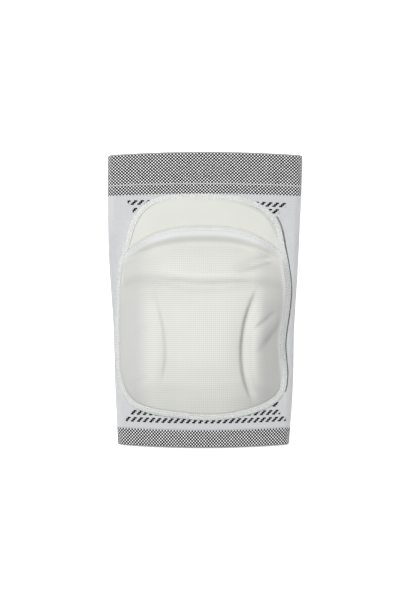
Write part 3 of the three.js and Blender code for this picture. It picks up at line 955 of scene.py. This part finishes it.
def tapeCloth(start):
    place, across, along = objectPlace(start)
    grain = place.noise(900.0, 3.0)
    speck = place.noise(1500.0, 2.0).above(0.5, 0.12)
    colour = (speck * 0.7 + grain * 0.3).blend(linear(192, 194, 192), linear(237, 239, 236))
    # painted shade along the tape's right side, and less on its left side
    trimShade = trimShadeMask(across, along, "rightTrimShade") * trimShadeLook["rightTrimShadeShare"]
    trimShade = trimShade + trimShadeMask(across * -1.0, along, "leftTrimShade") * trimShadeLook["leftTrimShadeShare"]
    return trimShade.blend(colour, trimShadeLook["trimShade"]), grain + speck * 0.6


hemLook = {
    "holePitch": 1.7,  # millimetres, as are all the places below
    "holeRow": (1.5, 2.9, 0.25),
    "holeShare": 0.45,
    "ends": (47, 7),
    "endShare": 0.8,
    "fade": (8.5, 2.5),
    "foldShare": 0.6,
}


def hemCloth(start):
    place, across, down = clothPlace(start)
    ribs = wave(down, meshLook["pitch"]) * 0.5 + 0.5
    grain = place.noise(0.9, 3.0)
    speck = place.noise(1.5, 2.0).above(0.5, 0.12)
    turned = grain.blend(linear(217, 218, 218), linear(225, 226, 226))
    # needle holes along the stitched edge
    holes = wave(across, hemLook["holePitch"]).above(0.2, 0.3) * down.between(*hemLook["holeRow"])
    turned = (holes * hemLook["holeShare"]).blend(turned, linear(176, 177, 176))
    # towards both ends the band turns grey and speckled, as the tapes are
    ends = (abs(across) + grain * 4).above(*hemLook["ends"])
    ending = speck.blend(linear(196, 198, 197), linear(220, 222, 220))
    turned = (ends * hemLook["endShare"]).blend(turned, ending)
    # the lower part takes the mesh's colour, with painted shade towards both ends
    below = (ends * 0.35).blend(linear(219, 220, 214), meshLook["paintedShadeGrey"])
    fade = (down + grain * 2 + ends * 3).above(*hemLook["fade"])
    # painted shade in its folds, at a lesser share
    colour = withFoldShade(start, fade.blend(turned, below), hemLook["foldShare"])
    return colour, ribs * fade * 0.6 + grain * 0.4


def threadPaint(*values):
    def paint(start):
        place, across, along = objectPlace(start)
        grain = place.noise(2500.0, 2.0)
        full, shaded, trimShade = (linear(*(value * share for value in values)) for share in (1, 0.92, 0.7))
        # painted shade on the right, as on the tapes
        share = trimShadeMask(across, along, "rightTrimShade") * trimShadeLook["threadShadeShare"]
        return share.blend(grain.blend(full, shaded), trimShade), grain

    return paint


# how each is painted, its roughness and sheen, and the strength and height of its weave
clothRows = {
    "greyKnit": (greyKnit, 0.95, 0.12, 0.5, 0.25 * mm),
    "checkKnit": (checkKnit, 0.95, 0.1, 0.35, 0.3 * mm),
    "meshCloth": (meshCloth, 0.9, 0.15, 0.35, 0.18 * mm),
    "smoothCloth": (smoothCloth, 0.8, 0.1, 0.2, 0.12 * mm),
    "tapeCloth": (tapeCloth, 0.85, 0.1, 0.4, 0.2 * mm),
    "hemCloth": (hemCloth, 0.85, 0.1, 0.3, 0.18 * mm),
    "thread": (threadPaint(240, 242, 241), 0.6, 0.1, 0.3, 0.05 * mm),
    # a dark grey thread that stands in for a shadow line
    "shadowThreadGrey": (threadPaint(132, 134, 136), 0.6, 0.1, 0.3, 0.05 * mm),
}
materials = {name: newCloth(name, *row) for name, row in clothRows.items()}
print("materials made")


# Sleeve and cuffs
def halfLoop(y, inset, side):
    # from the middle of the front, round the fold, to the middle of the back
    half = tubeHalf(y)
    flat = half - tube["foldReach"]
    edgeTop = tube["height"] - tube["archDrop"] * (flat / half) ** 2 - inset
    foldMiddle = (edgeTop + inset) / 2
    foldHeight = (edgeTop - inset) / 2
    front = np.linspace(0, flat, tube["frontSteps"], endpoint=False)
    points = [np.stack([front, tube["height"] - tube["archDrop"] * (front / half) ** 2 - inset])]
    angle = np.linspace(math.pi / 2, -math.pi / 2, tube["foldSteps"], endpoint=False)
    reach = tube["foldReach"] - inset
    points.append(np.stack([flat + reach * np.cos(angle), foldMiddle + foldHeight * np.sin(angle)]))
    back = np.linspace(flat, 0, tube["backSteps"] + 1)
    points.append(np.stack([back, np.full(back.shape, inset)]))
    line = np.concatenate(points, axis=1)
    return np.stack([line[0] * side, line[1]], axis=1)


def wholeLoop(y, inset, shapeIt):
    right = halfLoop(y, inset, 1)
    left = halfLoop(y, inset, -1)
    flatLoop = np.concatenate([left[:0:-1], right[:-1]])
    around = lengthsAlong(np.concatenate([flatLoop, flatLoop[:1]]))
    share = around / around[-1] - 0.5
    bow = tube["endBow"] * (y / (tube["length"] / 2))
    x = flatLoop[:, 0] + tubeMiddle(y)
    loop = np.stack([x, y - bow * (flatLoop[:, 0] / tubeHalf(y)) ** 2, flatLoop[:, 1]], axis=1)
    loop[:, 2] += shapeIt(loop[:, 0], loop[:, 1], loop[:, 2])
    wales = share * tube["wales"]
    return loop, np.stack([wales, np.full(wales.shape, knitCourse(y))], axis=1)


reliefLook = {
    "front": (0.55, 0.25),  # share of the height where the front starts, and over which
    "sag": 0.45 * mm,
    "sagWave": 45 * mm,
    "drop": 0.15 * mm,
    "pucker": 0.35 * mm,
    "puckerWave": 9 * mm,
    "puckerReach": 7 * mm,
}


def knitRelief(x, y, z):
    # only the front moves: it sags between its folds, and puckers where the pad is sewn on
    look = reliefLook
    front = rising(z / tube["height"], *look["front"])
    near = trough(np.maximum(-outerField.at(x, y), 0), look["puckerReach"])
    pucker = look["pucker"] * unevenness(x, y, look["puckerWave"], 3) * near
    return front * (look["sag"] * unevenness(x, y, look["sagWave"], 2) + pucker - look["drop"])


def turnedRim(edge, roll, wall, angles):
    return [(edge + roll * (1 - math.sin(a)), wall / 2 * (1 - math.cos(a))) for a in angles] if roll else []


def tubeStretch(name, start, end, wall, rows, rolls):
    ys = np.linspace(start + rolls[0], end - rolls[1], rows + 1)
    turn = np.linspace(0, math.pi, 7)[1:-1]
    stations = [(y, 0.0) for y in ys] + turnedRim(end, -rolls[1], wall, turn)
    stations += [(y, wall) for y in ys[::-1]] + turnedRim(start, rolls[0], wall, turn[::-1])
    made = [wholeLoop(y, inset, knitRelief) for y, inset in stations]
    points = np.array([loop for loop, _ in made])
    uvs = np.array([uv for _, uv in made] + [made[0][1]])
    return faceOutwards(ringSkin(name, points, uvs))


sleeve = tubeStretch("knittedSleeve", calfEdge, thighEdge, tube["sleeveWall"], 110, (0, 0))
thighCuff = tubeStretch("thighCuffKnit", thighEdge, thighEnd, tube["cuffWall"], 24, (0, tube["roll"]))
calfCuff = tubeStretch("calfCuffKnit", calfEnd, calfEdge, tube["cuffWall"], 12, (tube["roll"], 0))
print("sleeve and cuffs knitted")


# Pads: a grid inside four sides, as in the solids
def stretchBeside(loop, lineOf, wantAbove):
    wanted = (loop[:, 1] > lineOf(loop[:, 0])) == wantAbove
    first = np.nonzero(~wanted & np.roll(wanted, -1))[0][0]
    order = [(first + step) % len(loop) for step in range(len(loop) + 1)]
    ends = []
    chosen = []
    for here, there in zip(order[:-1], order[1:]):
        if wanted[here]:
            chosen.append(loop[here])
        if wanted[here] != wanted[there]:
            gapHere = loop[here][1] - lineOf(loop[here][0])
            gapThere = loop[there][1] - lineOf(loop[there][0])
            ends.append(mix(loop[here], loop[there], gapHere / (gapHere - gapThere)))
    return np.array([ends[0]] + chosen + [ends[1]])


def patch(near, far, left, right):
    # near and far are rows of points, left and right columns that join their ends
    across = len(near)
    along = len(left)
    u = easedShares(across)[None, :, None]
    v = easedShares(along)[:, None, None]
    sides = mix(near[None], far[None], v) + mix(left[:, None], right[:, None], u)
    corners = mix(mix(near[0], near[-1], u), mix(far[0], far[-1], u), v)
    return sides - corners


def easedShares(count):
    share = np.linspace(0, 1, count)
    return mix(share, 0.5 - 0.5 * np.cos(math.pi * share), 0.5)


def clothSpread(x, y):
    # millimetres along the plain surface from the middle of the pad, so that the weave isn't drawn out
    steps = 36
    probe = 0.6 * mm
    results = []
    for axis, start in enumerate((padCentre, padMiddle)):
        reachOut = (x, y)[axis] - start
        total = np.zeros(x.shape)
        for share in (np.arange(steps) + 0.5) / steps:
            ends = [[x, y], [x, y]]
            for end, side in zip(ends, (1, -1)):
                end[axis] = start + reachOut * share + side * probe
            slope = (foamHeight(*ends[0], True) - foamHeight(*ends[1], True)) / (2 * probe)
            total += np.sqrt(1 + slope**2) / steps
        results.append(reachOut * total / mm)
    return np.stack(results, axis=-1)


def foamTop(x, y):
    return padBase(x, y) + foamHeight(x, y)


# top and bottom are the heights of a cloth-covered slab over a grid of places
def coveredSlab(name, x, y, top, bottom, uvs):
    skins = (np.stack([x, y, z], axis=-1) for z in (top, bottom))
    return markPaintedLight(faceOutwards(slabSkin(name, *skins, uvs)), x, y)


def foamPiece(name, places):
    x, y = np.moveaxis(places, -1, 0)
    return coveredSlab(name, x, y, foamTop(x, y), padBase(x, y), clothSpread(x, y))


# corner is where the rim's sides end, as a share of its length
kneeGrid = {"across": 170, "along": 180, "corner": 0.34}
upperGrid = {"across": 180, "along": 90, "corner": 0.3}


def padPlaces(grid, isUpper):
    # one side is the joint between the pads, the other three are the rim
    line = lambda x: jointLine(x) + (0.5 if isUpper else -0.5) * pad["gap"]
    rim = stretchBeside(seamEdge, line, isUpper)
    corner = grid["corner"]
    u = easedShares(grid["across"])
    v = easedShares(grid["along"])
    if not isUpper:
        rim = rim[::-1]
        v = 1 - v
    jointX = mix(rim[0][0], rim[-1][0], u)
    joint = np.stack([jointX, line(jointX)], axis=1)
    joint[[0, -1]] = rim[[0, -1]]
    far = alongLine(rim, mix(corner, 1 - corner, u))
    sides = [alongLine(rim, corner * v), alongLine(rim, 1 - corner * v)]
    return patch(joint, far, *sides) if isUpper else patch(far, joint, *sides)


kneePad = foamPiece("kneePadFoam", padPlaces(kneeGrid, False))
upperPad = foamPiece("upperPadFoam", padPlaces(upperGrid, True))
print("pads shaped")


# Hem of the knee pad: a stitched band that runs out over the tapes and melts into the foam below
hemSize = {
    "across": 220,
    "along": 26,
    "edge": 1.2 * mm,
    "middle": 3.0 * mm,
    "rounded": 0.12,  # shares of the width: the rounded upper edge, and where the lower part thins out
    "thinning": (0.46, 0.5),
    "endShare": 0.22,
    "endReach": 24 * mm,
    "narrowing": 0.45,
    "sunk": 0.25 * mm,
    "creased": 0.6,  # share of a crease that shows through it
    "stitchIn": 2.2 * mm,
    "stitchDip": 0.3 * mm,
    "stitchReach": 0.6 * mm,
}
hemSpan = stretchBeside(outerEdge, hemEdge, True)


def hemWidthAt(x):
    # narrower towards both ends
    share = np.clip(np.abs(x - padCentre) / (hemSpan[-1][0] - padCentre), 0, 1)
    return pad["hemWidth"] * (1 - hemSize["narrowing"] * share**3)


def hemThick(x, share):
    # from a rounded upper edge to a lower edge that lies flush on the foam
    ends = np.minimum(x - hemSpan[0][0], hemSpan[-1][0] - x)
    taper = mix(hemSize["endShare"], 1, smooth(ends / hemSize["endReach"]))
    edge = np.clip(share / hemSize["rounded"], 0, 1)
    body = mix(hemSize["edge"], hemSize["middle"], smooth(share / 0.5))
    return taper * np.sqrt(edge * (2 - edge)) * body * (1 - rising(share, *hemSize["thinning"]))


def hemSeat(x, y):
    # what the hem lies on: the foam, and beyond its seam the tape, which falls away outwards
    overTape = 1 - np.clip(outerField.at(x, y) / pad["tapeWidth"], 0, 1)
    foam = foamHeight(x, y, True) - hemSize["creased"] * creaseDepth(x, y) * (1 - overTape)
    return padBase(x, y) + foam - (pad["tapeInner"] - pad["tapeOuter"]) * overTape


def hemTop(x, y, share):
    return hemSeat(x, y) + hemThick(x, share)


def hemOver(x, y):
    # where across the hem a point lies, from 0 to 1 inside it, and how high the hem is there
    share = (hemEdge(x) - y) / hemWidthAt(x)
    return share, hemTop(x, y, np.clip(share, 0, 1))


def hemPiece():
    xs = np.linspace(hemSpan[0][0] + pad["gap"], hemSpan[-1][0] - pad["gap"], hemSize["across"])
    shares = (1 - np.cos(math.pi * np.linspace(0, 1, hemSize["along"]))) / 2
    x, share = np.meshgrid(xs, shares)
    down = hemWidthAt(x) * share
    y = hemEdge(x) - down
    stitched = trough(down - hemSize["stitchIn"], hemSize["stitchReach"])
    top = hemTop(x, y, share) - hemSize["stitchDip"] * stitched
    # no gap over a crease
    under = np.minimum(hemSeat(x, y), foamTop(x, y)) - hemSize["sunk"]
    return coveredSlab("kneePadHemBand", x, y, top, under, np.stack([x / mm, down / mm], axis=-1))


hem = hemPiece()


# Geometry Nodes: a path of edges becomes a tape or a run of stitches
def newTree(name, sizes):
    tree = bpy.data.node_groups.new(name, "GeometryNodeTree")
    tree.interface.new_socket("Geometry", in_out="INPUT", socket_type="NodeSocketGeometry")
    for size in sizes:
        tree.interface.new_socket(size, in_out="INPUT", socket_type="NodeSocketFloat")
    tree.interface.new_socket("Material", in_out="INPUT", socket_type="NodeSocketMaterial")
    tree.interface.new_socket("Geometry", in_out="OUTPUT", socket_type="NodeSocketGeometry")
    entry = tree.nodes.new("NodeGroupInput")
    wires = {socket.name: Wire(tree, socket) for socket in entry.outputs if socket.name}
    return tree, wires


def endTree(tree, wires, curve, profile):
    sweep = {"Curve": curve, "Profile Curve": profile, "Fill Caps": True}
    mesh = curve.node("GeometryNodeCurveToMesh", {}, sweep)
    shaded = mesh.node("GeometryNodeSetShadeSmooth", {}, {"Geometry": mesh})
    real = shaded.node("GeometryNodeRealizeInstances", {}, {"Geometry": shaded})
    dressed = real.node("GeometryNodeSetMaterial", {}, {"Geometry": real, "Material": wires["Material"]})
    leave = tree.nodes.new("NodeGroupOutput")
    tree.links.new(dressed.socket, leave.inputs["Geometry"])
    return tree


def markOf(start, name):
    return start.node("GeometryNodeInputNamedAttribute", {"data_type": "FLOAT"}, {"Name": name})


def pathCurve(start):
    curve = start.node("GeometryNodeMeshToCurve", {}, {"Mesh": start})
    radius = {"Curve": curve, "Radius": markOf(start, "wide")}
    return curve.node("GeometryNodeSetCurveRadius", {}, radius)


def stitchTree():
    tree, wires = newTree("stitchRun", ["Step", "Swing", "Lift", "Beat", "Shift", "Radius"])
    start = wires["Geometry"]
    spacing = {"Curve": pathCurve(start), "Length": wires["Step"]}
    even = start.node("GeometryNodeResampleCurve", {"mode": "LENGTH"}, spacing)
    index = start.node("GeometryNodeInputIndex")
    tangent = start.node("GeometryNodeInputTangent")
    cross = {"operation": "CROSS_PRODUCT"}
    side = start.node("ShaderNodeVectorMath", cross, {0: tangent, 1: (0.0, 0.0, 1.0)})
    swing = (index * (math.pi / 2)).sin() * wires["Swing"]
    arch = (abs(((index + wires["Shift"]) * wires["Beat"]).sin()) * 2 - 1) * wires["Lift"]
    sideways = start.node("ShaderNodeVectorMath", {"operation": "SCALE"}, {0: side, "Scale": swing})
    upwards = start.node("ShaderNodeCombineXYZ", {}, {"Z": arch})
    offset = start.node("ShaderNodeVectorMath", {"operation": "ADD"}, {0: sideways, 1: upwards})
    moved = even.node("GeometryNodeSetPosition", {}, {"Geometry": even, "Offset": offset})
    ring = start.node("GeometryNodeCurvePrimitiveCircle", {}, {"Resolution": 6, "Radius": wires["Radius"]})
    return endTree(tree, wires, moved, ring)


def tapeTree():
    tree, wires = newTree("tapeRun", ["Width", "Thickness", "Groove"])
    start = wires["Geometry"]
    level = start.node("GeometryNodeSetCurveNormal", {"mode": "Z_UP"}, {"Curve": pathCurve(start)})
    tilted = level.node("GeometryNodeSetCurveTilt", {}, {"Curve": level, "Tilt": markOf(start, "lean")})
    ring = start.node("GeometryNodeCurvePrimitiveCircle", {}, {"Resolution": 28, "Radius": 1.0})
    _, across, along = withAxes(start.node("GeometryNodeInputPosition"))
    square = across.math("SIGN", across) * across.math("POWER", abs(across), 0.45)
    tall = along.math("SIGN", along) * along.math("POWER", abs(along), 0.75)
    inner = 1 - across * across * 3
    dip = wires["Groove"] * inner.math("MAXIMUM", inner, 0.0)
    # the sweep turns a profile's Y downwards
    drop = tall * wires["Thickness"] / 2 - dip * along.above(0.3, 0.2)
    shape = start.node("ShaderNodeCombineXYZ", {}, {"X": square * wires["Width"] / 2, "Y": drop * -1.0})
    profile = ring.node("GeometryNodeSetPosition", {}, {"Geometry": ring, "Position": shape})
    return endTree(tree, wires, tilted, profile)


trees = {"stitch": stitchTree(), "tape": tapeTree()}


def runAlong(name, tree, points, sizes, material, marks=None):
    edges = [(index, index + 1) for index in range(len(points) - 1)]
    mesh = bpy.data.meshes.new(name)
    mesh.from_pydata(np.asarray(points).tolist(), edges, [])
    for mark, values in {"wide": np.ones(len(points)), **(marks or {})}.items():
        mesh.attributes.new(mark, "FLOAT", "POINT").data.foreach_set("value", np.asarray(values, float))
    path = addObject(name, mesh)
    modifier = path.modifiers.new("run", "NODES")
    modifier.node_group = tree
    for item in tree.interface.items_tree:
        if item.in_out == "INPUT" and item.name in sizes:
            modifier[item.identifier] = float(sizes[item.name])
        if item.in_out == "INPUT" and item.name == "Material":
            modifier[item.identifier] = materials[material]
    bpy.context.view_layer.update()
    result = bpy.data.meshes.new_from_object(path.evaluated_get(bpy.context.evaluated_depsgraph_get()))
    bpy.data.objects.remove(path)
    result.name = name
    return faceOutwards(addObject(name, result))


tapeJoint = (hemSpan[0][1] + hemSpan[-1][1] - pad["hemWidth"]) / 2


def tapePath(wantAbove, share):
    line = outerEdge + (tapeInner - outerEdge) * share
    return stretchBeside(line, lambda x: tapeJoint + 0 * x, wantAbove)


def tapePiece(name, wantAbove):
    middle = tapePath(wantAbove, 0.5)
    x, y = middle.T
    heading = np.gradient(middle, axis=0)
    heading /= np.linalg.norm(heading, axis=1)[:, None]
    width = tapeWidthAt(middle)
    out = np.stack([-heading[:, 1], heading[:, 0]], axis=1) * width[:, None] / 2
    rise = padBase(x + out[:, 0], y + out[:, 1]) - padBase(x - out[:, 0], y - out[:, 1])
    rise -= pad["tapeInner"] - pad["tapeOuter"]
    marks = {"lean": np.arctan2(rise, width), "wide": width / pad["tapeWidth"]}
    thickness = pad["tapeThickness"] * marks["wide"]
    z = padBase(x, y) + (pad["tapeInner"] + pad["tapeOuter"] - thickness) / 2
    sizes = {"Width": pad["tapeWidth"], "Thickness": pad["tapeThickness"], "Groove": 0.35 * mm}
    return runAlong(name, trees["tape"], np.stack([x, y, z], axis=1), sizes, "tapeCloth", marks)


# Beat and Shift time the lift along the run
zigzag = {"Step": 0.55 * mm, "Swing": 1.7 * mm, "Lift": 0.25 * mm, "Radius": 0.32 * mm}
zigzag.update({"Beat": math.pi / 2, "Shift": 1.0})
straight = {"Step": 0.55 * mm, "Swing": 0.0, "Lift": 0.22 * mm, "Radius": 0.24 * mm}
straight.update({"Beat": math.pi / 4, "Shift": 0.0})
stitchRun = {
    "across": 0.52,  # where across the tape the zigzag runs
    "tapeSunk": 0.15 * mm,
    "overHem": 0.05 * mm,
    "hemSunk": 0.12 * mm,
    "beside": 0.9 * mm,  # how far inside the tapes the hem's row runs on
    "leftReach": 26 * mm,
    "rightReach": 128 * mm,
}


def tapeStitches(name, wantAbove):
    line = tapePath(wantAbove, stitchRun["across"])
    x, y = line.T
    tapeTop = padBase(x, y) + mix(pad["tapeOuter"], pad["tapeInner"], stitchRun["across"])
    z = tapeTop - stitchRun["tapeSunk"]
    share, top = hemOver(x, y)
    z = np.where((share > 0) & (share < 1), np.maximum(z, top + stitchRun["overHem"]), z)
    return runAlong(name, trees["stitch"], np.column_stack([line, z]), zigzag, "thread")


def hemStitches(name, inset):
    # along the hem, then on down beside both tapes, where the hem is sewn in
    xs = np.linspace(hemSpan[0][0] + 1 * mm, hemSpan[-1][0] - 1 * mm, 240)
    ys = hemEdge(xs) - inset
    within = seamField.at(xs, ys) > stitchRun["beside"]
    line = np.column_stack([xs, ys])[within]
    sideLine = insetEdge(tapeWidthAt(outerEdge) - pad["tuck"] + stitchRun["beside"])
    parts = []
    reaches = (stitchRun["leftReach"], stitchRun["rightReach"])
    for end, sign, reach in zip((line[0], line[-1]), (-1, 1), reaches):
        below = end[1] - sideLine[:, 1]
        stretch = sideLine[(np.sign(sideLine[:, 0]) == sign) & (below > 0) & (below < reach)]
        parts.append(stretch[np.argsort(stretch[:, 1])[::-1]])
    x, y = np.concatenate([parts[0][::-1], line, parts[1]]).T
    share, top = hemOver(x, y)
    z = np.where(share < 1, top, foamTop(x, y)) - stitchRun["hemSunk"]
    return runAlong(name, trees["stitch"], np.column_stack([x, y, z]), straight, "thread")


# a dark grey thread beside the right edge that stands in for its shadow line
shadowLine = {
    "out": 0.35 * mm,
    "above": 0.5 * mm,
    "top": 68 * mm,
    "bottom": -74 * mm,
    "taperTop": 34 * mm,
    "taperBottom": 18 * mm,
    "radius": 0.48 * mm,
    "endShare": 0.4,  # of the radius
}


def shadowLineStitches(name):
    # a dark grey thread down the right-hand side, standing in for the shadow line beside the pad's edge
    line = insetEdge(-shadowLine["out"])
    line = line[(line[:, 0] > 0) & (line[:, 1] < shadowLine["top"]) & (line[:, 1] > shadowLine["bottom"])]
    x, y = line[np.argsort(line[:, 1])[::-1]].T
    z = tubeTop(x, y) + shadowLine["above"]
    full = smooth((shadowLine["top"] - y) / shadowLine["taperTop"])
    full = full * rising(y, shadowLine["bottom"], shadowLine["taperBottom"])
    marks = {"wide": mix(shadowLine["endShare"], 1, full)}
    sizes = {**straight, "Radius": shadowLine["radius"]}
    return runAlong(name, trees["stitch"], np.column_stack([x, y, z]), sizes, "shadowThreadGrey", marks)


upperTape = tapePiece("upperPadTapeBand", True)
lowerTape = tapePiece("kneePadTapeBand", False)
upperZigzag = tapeStitches("upperTapeZigzag", True)
lowerZigzag = tapeStitches("kneeTapeZigzag", False)
hemRow = hemStitches("hemStitchRow", hemSize["stitchIn"])
shadowLineRow = shadowLineStitches("rightEdgeShadowLine")
print("tapes and stitches run")


# Every piece takes its material, rides on the one body and stands for its solid
dressing = [
    (sleeve, "greyKnit", "grey_knit", "sleeve"),
    (thighCuff, "checkKnit", "check_knit", "thigh_cuff"),
    (calfCuff, "checkKnit", "check_knit", "calf_cuff"),
    (upperPad, "smoothCloth", "smooth_cloth", "upper_pad"),
    (kneePad, "meshCloth", "mesh_cloth", "knee_pad"),
    (hem, "hemCloth", "stitched_tape", "knee_pad_hem"),
    (upperTape, "tapeCloth", "stitched_tape", "upper_pad_tape"),
    (lowerTape, "tapeCloth", "stitched_tape", "knee_pad_tape"),
    (upperZigzag, "thread", "stitched_tape", None),
    (lowerZigzag, "thread", "stitched_tape", None),
    (hemRow, "thread", "stitched_tape", None),
    (shadowLineRow, "shadowThreadGrey", "stitched_tape", None),
]
for piece, material, slot, node in dressing:
    piece.data.materials.clear()
    piece.data.materials.append(materials[material])
    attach(piece, "root")
    if node:
        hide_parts(node)


def roundTube(y):
    loop = wholeLoop(y, 0.0, lambda a, b, c: 0 * c)[0]
    return lengthsAlong(np.concatenate([loop, loop[:1]]))[-1]


for piece, start, end in (
    (sleeve, calfEdge, thighEdge),
    (thighCuff, thighEdge, thighEnd),
    (calfCuff, calfEnd, calfEdge),
):
    roundTube((start + end) / 2)
    end - start


# Plain pale floor and soft studio light
studioLook = {
    "floorSide": 6.0,
    "floorAt": -0.2 * mm,
    "paint": {
        "Roughness": 0.9,
        "Specular IOR Level": 0.0,
        "Sheen Roughness": 0.6,
        "Base Color": (0.93, 0.93, 0.93, 1.0),
        "Emission Color": (1.0, 1.0, 1.0, 1.0),
        "Emission Strength": 0.8,
    },
    "lamps": [
        {"name": "keyLamp", "place": (-0.23, 0.24, 1.5), "size": 0.4, "energy": 19.8},
        {"name": "topLamp", "place": (0.0, 0.0, 2.4), "size": 1.0, "energy": 6.0},
    ],
    "skyStrength": 0.14,
}


def studio():
    side = studioLook["floorSide"]
    under = studioLook["floorAt"]
    mesh = bpy.data.meshes.new("paleFloor")
    corners = ((-1, -1), (1, -1), (1, 1), (-1, 1))
    mesh.from_pydata([(a * side, b * side, under) for a, b in corners], [], [(0, 1, 2, 3)])
    material, _ = newMaterial("floorPaint", studioLook["paint"])
    mesh.materials.append(material)
    addObject("paleFloor", mesh)
    for lamp in studioLook["lamps"]:
        data = bpy.data.lights.new(lamp["name"], "AREA")
        data.energy = lamp["energy"]
        data.size = lamp["size"]
        light = addObject(lamp["name"], data)
        light.location = lamp["place"]
        aim = np.array(lamp["place"]) / np.linalg.norm(lamp["place"])
        light.rotation_euler = (math.acos(aim[2]), 0, math.atan2(aim[1], aim[0]) + math.pi / 2)
    world = bpy.data.worlds.new("studioWorld")
    world.use_nodes = True
    world.node_tree.nodes["Background"].inputs["Color"].default_value = (1.0, 1.0, 1.0, 1.0)
    world.node_tree.nodes["Background"].inputs["Strength"].default_value = studioLook["skyStrength"]
    bpy.context.scene.world = world
    bpy.context.scene.view_settings.view_transform = "Standard"


studio()
print("studio lit")
